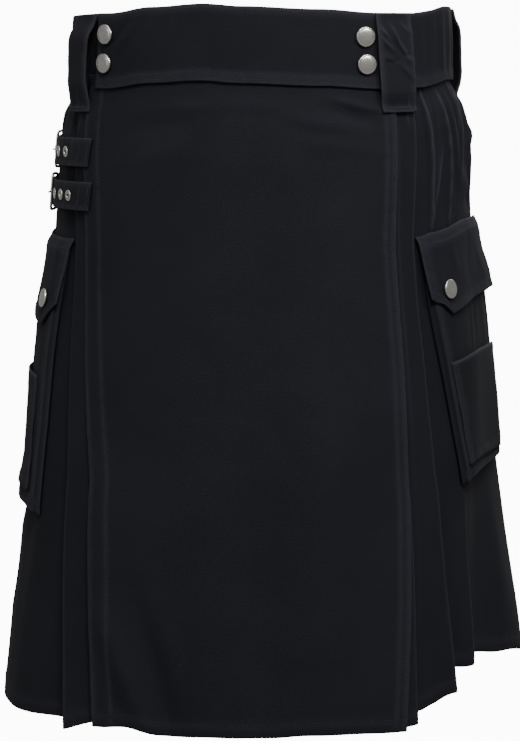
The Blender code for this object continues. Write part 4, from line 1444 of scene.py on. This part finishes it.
loops = {
    "width": 0.032,
    "end": 0.084,
    "settle": 0.0007,
    "waisting": 1.4,
    "rowCount": 58,
    "columnCount": 26,
    "places": (
        # node, centre angle, bow
        ("belt_loop_right_front", -63.5, 0.0078),
        ("belt_loop_left_front", 54.5, 0.0030),
        ("belt_loop_right_side", -104.0, 0.0064),
        ("belt_loop_left_side", 103.0, 0.0064),
        ("belt_loop_centre_back", 180.0, 0.0064),
    ),
    "crumple": (
        # across, down, to across, to down, half width, height
        (0.05, 0.12, 0.40, 0.28, 0.0018, 0.0016),
        (0.35, 0.10, 0.60, 0.26, 0.0018, 0.0012),
        (0.65, 0.08, 0.92, 0.20, 0.0018, 0.0012),
        (0.10, 0.24, 0.45, 0.38, 0.0019, 0.0019),
        (0.30, 0.22, 0.75, 0.42, 0.0022, -0.0014),
        (0.55, 0.26, 0.92, 0.50, 0.0020, 0.0020),
        (0.62, 0.40, 0.98, 0.44, 0.0018, -0.0012),
        (0.15, 0.42, 0.50, 0.50, 0.0018, 0.0014),
        (0.20, 0.49, 0.55, 0.47, 0.0018, -0.0012),
        (0.60, 0.50, 0.95, 0.66, 0.0024, 0.0017),
    ),
}


def bandOutside(angle):
    turned = angle % 360.0
    if turned < 57.15 or turned > 302.85:
        return bandFrontOut + 0.5 * form["bandCloth"]
    return bands["underOut"] + bandStep(turned) + 2.0 * bands["ripple"] + 0.5 * form["bandCloth"]


def loopSheet(node, centre, standOff):
    isFront = abs(centre) < 70
    spread = degreesFor(0.5 * loops["width"], centre, 0.03)
    ends = (centre - spread, centre + spread)
    bandFace = max(bandOutside(mix(*ends, index / 4)) for index in range(5))
    clothFace = 0.5 * form["cloth"] + (apronOut if isFront else 0.0)
    seat = 0.5 * form["strapCloth"] + form["seamGap"]
    rows = []
    for index in range(loops["rowCount"] + 1):
        share = index / loops["rowCount"]
        drop = mix(0.001, loops["end"], share)
        fall = ramp(drop, form["bandHeight"] + 0.001, loops["end"] - 0.004)
        base = mix(bandFace, clothFace, fall) + seat
        bow = standOff * ramp(share, 0.0, 0.26) * (1.0 - ramp(share, 0.66, 1.0))
        settle = 0.0 if isFront else loops["settle"] * fall
        row = []
        for column in range(loops["columnCount"] + 1):
            across = column / loops["columnCount"]
            out = base + bow - settle
            if node == "belt_loop_left_front":
                out += localCrease(loops["crumple"], across, share, 0.032, 0.084)
            else:
                swell = noise.noise(Vector((across * 1.6, share * 4.0, centre)))
                out += 0.0008 * swell * math.sin(math.pi * share)
            angle = mix(*ends, across)
            if node == "belt_loop_right_front":
                angle -= loops["waisting"] * math.sin(math.pi * share) * ramp(across, 0.3, 1.0)
            row.append(formPoint(angle, drop, out))
        rows.append(row)
    look = {
        "node": node,
        "slot": "strap",
        "material": strapTwill,
        "thickness": form["strapCloth"],
        "turnedThickness": 0.0023,
        "rounded": 0.0006,
        "turned": {"left": 0.007, "right": 0.007, "bottom": 0.005},
        "seams": (("left", 0.0028), ("right", 0.0028), ("bottom", 0.0035)),
        "held": "laid",
        "restsOn": ["waistband_back"] if not isFront else ["waistband_front"],
    }
    made = clothSheet(f"{camel(node)}Cloth", rows, look)
    stitching(
        f"{camel(node)}Stitches",
        edgeSeams(made, [("left", 0.0028), ("right", 0.0028)]),
        [seamPath(made, "bottom", 0.0035, 0.003, 0.029)],
    )


for place in loops["places"]:
    loopSheet(*place)
print("belt loops made")

straps = {
    "width": 0.0245,
    "tailEnd": -111.0,
    "buckleFront": -87.5,
    "buckleHeel": -94.5,
    "wire": 0.0013,
    "prongWire": 0.0009,
    "chapeEnd": -109.0,
    "keeperAt": -102.0,
    "eyeletAngles": (-66.5, -73.0, -79.5, -89.9, -106.8),
    "eyeletLift": (0.0004, 0.0004, 0.0004, 0.0010, 0.0004),
    "prongEyelet": 3,
    "hole": 0.0022,
    "pair": (
        # number, drop, sewn end, shift
        (1, 0.1185, -53.5, 0.0),
        (2, 0.1560, -51.0, 6.0),
    ),
    "eyeletProfile": (
        # radius, height
        (0.0021, -0.0017),
        (0.0021, 0.0005),
        (0.0024, 0.0009),
        (0.0030, 0.00115),
        (0.0038, 0.0011),
        (0.0045, 0.0008),
        (0.0050, 0.0003),
        (0.0050, 0.0000),
        (0.0025, 0.0000),
        (0.0024, -0.0017),
        (0.0021, -0.0017),
    ),
}
strapOnBody = 0.5 * form["cloth"] + 0.5 * form["strapCloth"] + form["seamGap"] + 0.0012
chapeSeat = form["cloth"] + form["seamGap"] + 0.0002


def strapOffset(angle, shift):
    placed = angle - shift
    low = mix(strapOnBody + apronOut, strapOnBody, ramp(-angle, 60.0, 66.0))
    overHeel = ramp(-placed, 1.0 - straps["buckleFront"], -0.5 - straps["buckleHeel"])
    return mix(low, 0.0090, overHeel)


def stripRows(profile, drop, width, steps):
    rows = []
    for index in range(steps + 1):
        level = drop + (index / steps - 0.5) * width
        rows.append([formPoint(angle, level, out) for angle, out in profile])
    return rows


def wire(name, node, points, radius, closed):
    curve = bpy.data.curves.new(name, "CURVE")
    curve.dimensions = "3D"
    curve.bevel_depth = radius
    curve.bevel_resolution = 5
    curve.use_fill_caps = not closed
    spline = curve.splines.new("POLY")
    fine = []
    count = len(points)
    for index in range(count if closed else count - 1):
        for step in range(4):
            fine.append(points[index].lerp(points[(index + 1) % count], step / 4))
    if not closed:
        fine.append(points[-1])
    for _ in range(3):  # rounds the bends of the wire
        eased = list(fine)
        for index in range(len(fine)):
            if closed or 0 < index < len(fine) - 1:
                before, after = fine[index - 1], fine[(index + 1) % len(fine)]
                eased[index] = 0.25 * before + 0.5 * fine[index] + 0.25 * after
        fine = eased
    spline.points.add(len(fine) - 1)
    for splinePoint, point in zip(spline.points, fine):
        splinePoint.co = (*point, 1.0)
    spline.use_cyclic_u = closed
    bent = bpy.data.objects.new(name + "Bend", curve)
    bpy.context.scene.collection.objects.link(bent)
    mesh = bpy.data.meshes.new_from_object(bent)
    bpy.data.objects.remove(bent)
    mesh.name = name
    mesh.materials.clear()
    mesh.materials.append(nickelPlate)
    mesh.shade_smooth()
    piece = bpy.data.objects.new(name, mesh)
    bpy.context.scene.collection.objects.link(piece)
    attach(piece, "root")
    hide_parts(node)


def strapPieces(number, drop, sewnEnd, shift):
    length = straps["tailEnd"] + shift - sewnEnd
    width = straps["width"]
    profile = []
    for index in range(113):
        angle = sewnEnd + length * index / 112
        profile.append((angle, strapOffset(angle, shift)))
    look = {
        "slot": "strap",
        "material": strapTwill,
        "thickness": form["strapCloth"],
        "turnedThickness": form["strapCloth"],
        "turned": {"top": 0.004, "bottom": 0.004},
        "held": "laid",
    }
    made = clothSheet(
        f"strap{number}Cloth",
        stripRows(profile, drop, width, 12),
        {
            **look,
            "node": f"strap_{number}",
            "rounded": 0.0005,
            "seams": (("top", 0.0025), ("bottom", 0.0025)),
            "restsOn": ["apron_outer", "side_panel_right"],
            "holes": [
                frameOnForm(angle + shift, drop, strapOffset(angle + shift, shift))
                for angle in straps["eyeletAngles"]
            ],
        },
    )
    stitching(
        f"strap{number}Stitches",
        edgeSeams(made, [("top", 0.0025), ("bottom", 0.0025)]),
        [
            seamPath(made, "left", 0.0030, 0.003, width - 0.003),
            seamPath(made, "left", 0.0150, 0.003, width - 0.003),
        ],
    )
    for index, angle in enumerate(straps["eyeletAngles"]):
        placed = angle + shift
        lift = 0.5 * form["strapCloth"] + straps["eyeletLift"][index]
        seat = frameOnForm(placed, drop, strapOffset(placed, shift) + lift)
        slope = (strapOffset(placed - 0.4, shift) - strapOffset(placed + 0.4, shift)) / (
            planPoint(placed - 0.4, drop) - planPoint(placed + 0.4, drop)
        ).length
        seat = seat @ Matrix.Rotation(math.atan(slope), 4, "Y")
        name = f"strap{number}Eyelet{index + 1}"
        spunMetal(name, f"eyelet_{number}_{index + 1}", straps["eyeletProfile"], seat, 28)
    heel, end = straps["buckleHeel"] + shift, straps["chapeEnd"] + shift
    front = straps["buckleFront"] + shift
    radius = straps["wire"] + form["seamGap"] + 0.5 * form["cloth"]
    perMetre = degreesFor(1.0, heel, drop)
    lay = [mix(end, heel - 4.5, index / 12) for index in range(13)]
    points = [(angle, chapeSeat) for angle in lay]
    for turn in range(-90, 91, 15):
        swing = math.radians(turn)
        points.append(
            (heel + math.cos(swing) * radius * perMetre, chapeSeat + radius * (1 + math.sin(swing)))
        )
    points += [(angle, chapeSeat + 0.0022) for angle in reversed(lay[1:])]
    points.append((end + 0.8, chapeSeat + 0.0021))
    clothSheet(
        f"buckleChape{number}Cloth",
        stripRows(points, drop, width - 0.0005, 8),
        {
            **look,
            "node": f"buckle_chape_{number}",
            "thickness": form["cloth"],
            "turned": {},
            "held": "folded",
            "restsOn": ["side_panel_right"],
        },
    )
    half, corner, cornerAngle = 0.5 * width + 0.0040, 0.0028, 0.9
    frontOut = strapOffset(front, shift) + 0.5 * form["strapCloth"]
    frontOut += form["seamGap"] + straps["wire"]
    heelOut = chapeSeat + 0.5 * form["cloth"] + form["seamGap"] + straps["wire"]
    plan = (
        (front, -half + corner, frontOut),
        (front, 0.0, frontOut),
        (front, half - corner, frontOut),
        (front - cornerAngle, half, frontOut),
        (heel + cornerAngle, half, heelOut),
        (heel, half - corner, heelOut),
        (heel, 0.0, heelOut),
        (heel, -half + corner, heelOut),
        (heel + cornerAngle, -half, heelOut),
        (front - cornerAngle, -half, frontOut),
    )
    corners = [formPoint(angle, drop + level, out) for angle, level, out in plan]
    wire(f"buckle{number}Frame", f"buckle_frame_{number}", corners, straps["wire"], True)
    hole = straps["eyeletAngles"][straps["prongEyelet"]] + shift
    rise = strapOffset(front, shift) + 0.5 * form["strapCloth"]
    onBar = rise + 2.0 * form["seamGap"] + 2.0 * straps["wire"] + straps["prongWire"]
    inHole = strapOffset(hole, shift)
    prong = [
        formPoint(hole, drop, inHole - 0.0006),
        formPoint(hole, drop, inHole + 0.0030),
        formPoint(front - 0.6, drop, onBar),
        formPoint(front + 0.8, drop, onBar - 0.0002),
    ]
    wire(f"buckle{number}Prong", f"buckle_prong_{number}", prong, straps["prongWire"], False)
    half, roundOff = 0.5 * width + 0.0018, 0.0012
    centre = straps["keeperAt"] + shift
    topOut = strapOffset(centre, shift) + 0.5 * form["strapCloth"]
    topOut += form["seamGap"] + 0.5 * form["cloth"]
    spread = degreesFor(0.004, centre, drop)
    bends = (
        (-half, chapeSeat),
        (-half, topOut - roundOff),
        (-half + 0.3 * roundOff, topOut - 0.3 * roundOff),
        (-half + roundOff, topOut),
        (-0.5 * half, topOut),
        (0.0, topOut),
        (0.5 * half, topOut),
        (half - roundOff, topOut),
        (half - 0.3 * roundOff, topOut - 0.3 * roundOff),
        (half, topOut - roundOff),
        (half, chapeSeat),
    )
    rows = []
    for level, out in bends:
        angles = [centre + spread * share for share in (-1.0, -0.5, 0.0, 0.5, 1.0)]
        rows.append([formPoint(angle, drop + level, out) for angle in angles])
    clothSheet(
        f"strapKeeper{number}Cloth",
        rows,
        {
            **look,
            "node": f"strap_keeper_{number}",
            "thickness": form["cloth"],
            "turned": {},
            "held": "folded",
            "restsOn": [f"strap_{number}"],
        },
    )


for settings in straps["pair"]:
    strapPieces(*settings)
print("straps and buckles made")

# Camera and studio, from the photograph's own viewing angle
studio = {
    "lens": 117.6,
    "distance": 2.150,
    "azimuth": 8.0,
    "height": -0.020,
    "pitch": 7.99,
    "floorDrop": 1.05,
}
turn = math.radians(studio["azimuth"])
camera = bpy.data.objects.new("camera", bpy.data.cameras.new("camera"))
bpy.context.scene.collection.objects.link(camera)
camera.location = (
    math.sin(turn) * studio["distance"],
    -math.cos(turn) * studio["distance"],
    studio["height"],
)
camera.rotation_euler = (math.radians(90.0 - studio["pitch"]), 0.0, turn)
camera.data.lens = studio["lens"]
bpy.context.scene.camera = camera

lamps = (
    # name, position, size, power
    ("key", (0.55, -1.9, 1.75), 0.6, 56.0),
    ("fill", (-2.2, -2.8, 0.4), 1.6, 8.0),
    ("rightRim", (0.70, -0.55, 0.42), 0.25, 4.6),
    ("leftRim", (-0.62, -0.72, 0.45), 0.4, 1.9),
    ("back", (0.8, 3.0, 1.2), 1.8, 50.0),
)
for name, position, size, power in lamps:
    data = bpy.data.lights.new(name, "AREA")
    data.size = size
    data.energy = power
    lamp = bpy.data.objects.new(name, data)
    bpy.context.scene.collection.objects.link(lamp)
    lamp.location = position
    aim = Vector(position) - Vector((0.0, 0.0, -0.25))
    lamp.rotation_euler = aim.to_track_quat("Z", "Y").to_euler()
above = bpy.data.lights.new("above", "SUN")
above.energy = 1.2
above.angle = math.radians(50.0)
sun = bpy.data.objects.new("above", above)
bpy.context.scene.collection.objects.link(sun)

world = bpy.data.worlds.new("studio air")
bpy.context.scene.world = world
world.use_nodes = True
air = world.node_tree.nodes["Background"]
air.inputs["Color"].default_value = (1.0, 1.0, 1.0, 1.0)
air.inputs["Strength"].default_value = 0.36


def stageShape(name, build):
    # the floor and the white room show to the camera, but the lamps alone light the cloth
    shape = bmesh.new()
    build(shape)
    bmesh.ops.translate(shape, verts=shape.verts, vec=(0.0, 0.0, -studio["floorDrop"]))
    mesh = bpy.data.meshes.new(name)
    shape.to_mesh(mesh)
    shape.free()
    mesh.materials.append(floorPaint)
    piece = bpy.data.objects.new(name, mesh)
    bpy.context.scene.collection.objects.link(piece)
    piece.visible_diffuse = False
    piece.visible_glossy = False
    piece.visible_shadow = False


floorPaint, floorShader = newMaterial(
    "paleFloorPaint",
    {"Roughness": 0.9, "Emission Color": (1.0, 1.0, 1.0, 1.0), "Emission Strength": 11.0},
)
speck = addNode(floorPaint, "ShaderNodeTexNoise", {"Scale": 6.0}, {})
tone = addNode(
    floorPaint,
    "ShaderNodeMix",
    {"data_type": "RGBA", 6: hexToLinear("#f3f3f3"), 7: hexToLinear("#f8f8f8")},
    {0: speck.outputs["Fac"]},
)
floorPaint.node_tree.links.new(tone.outputs[2], floorShader.inputs["Base Color"])
stageShape(
    "floor",
    lambda shape: bmesh.ops.create_circle(shape, cap_ends=True, segments=64, radius=59.0),
)
stageShape(
    "room", lambda shape: bmesh.ops.create_uvsphere(shape, u_segments=48, v_segments=24, radius=60.0)
)
print("studio made")
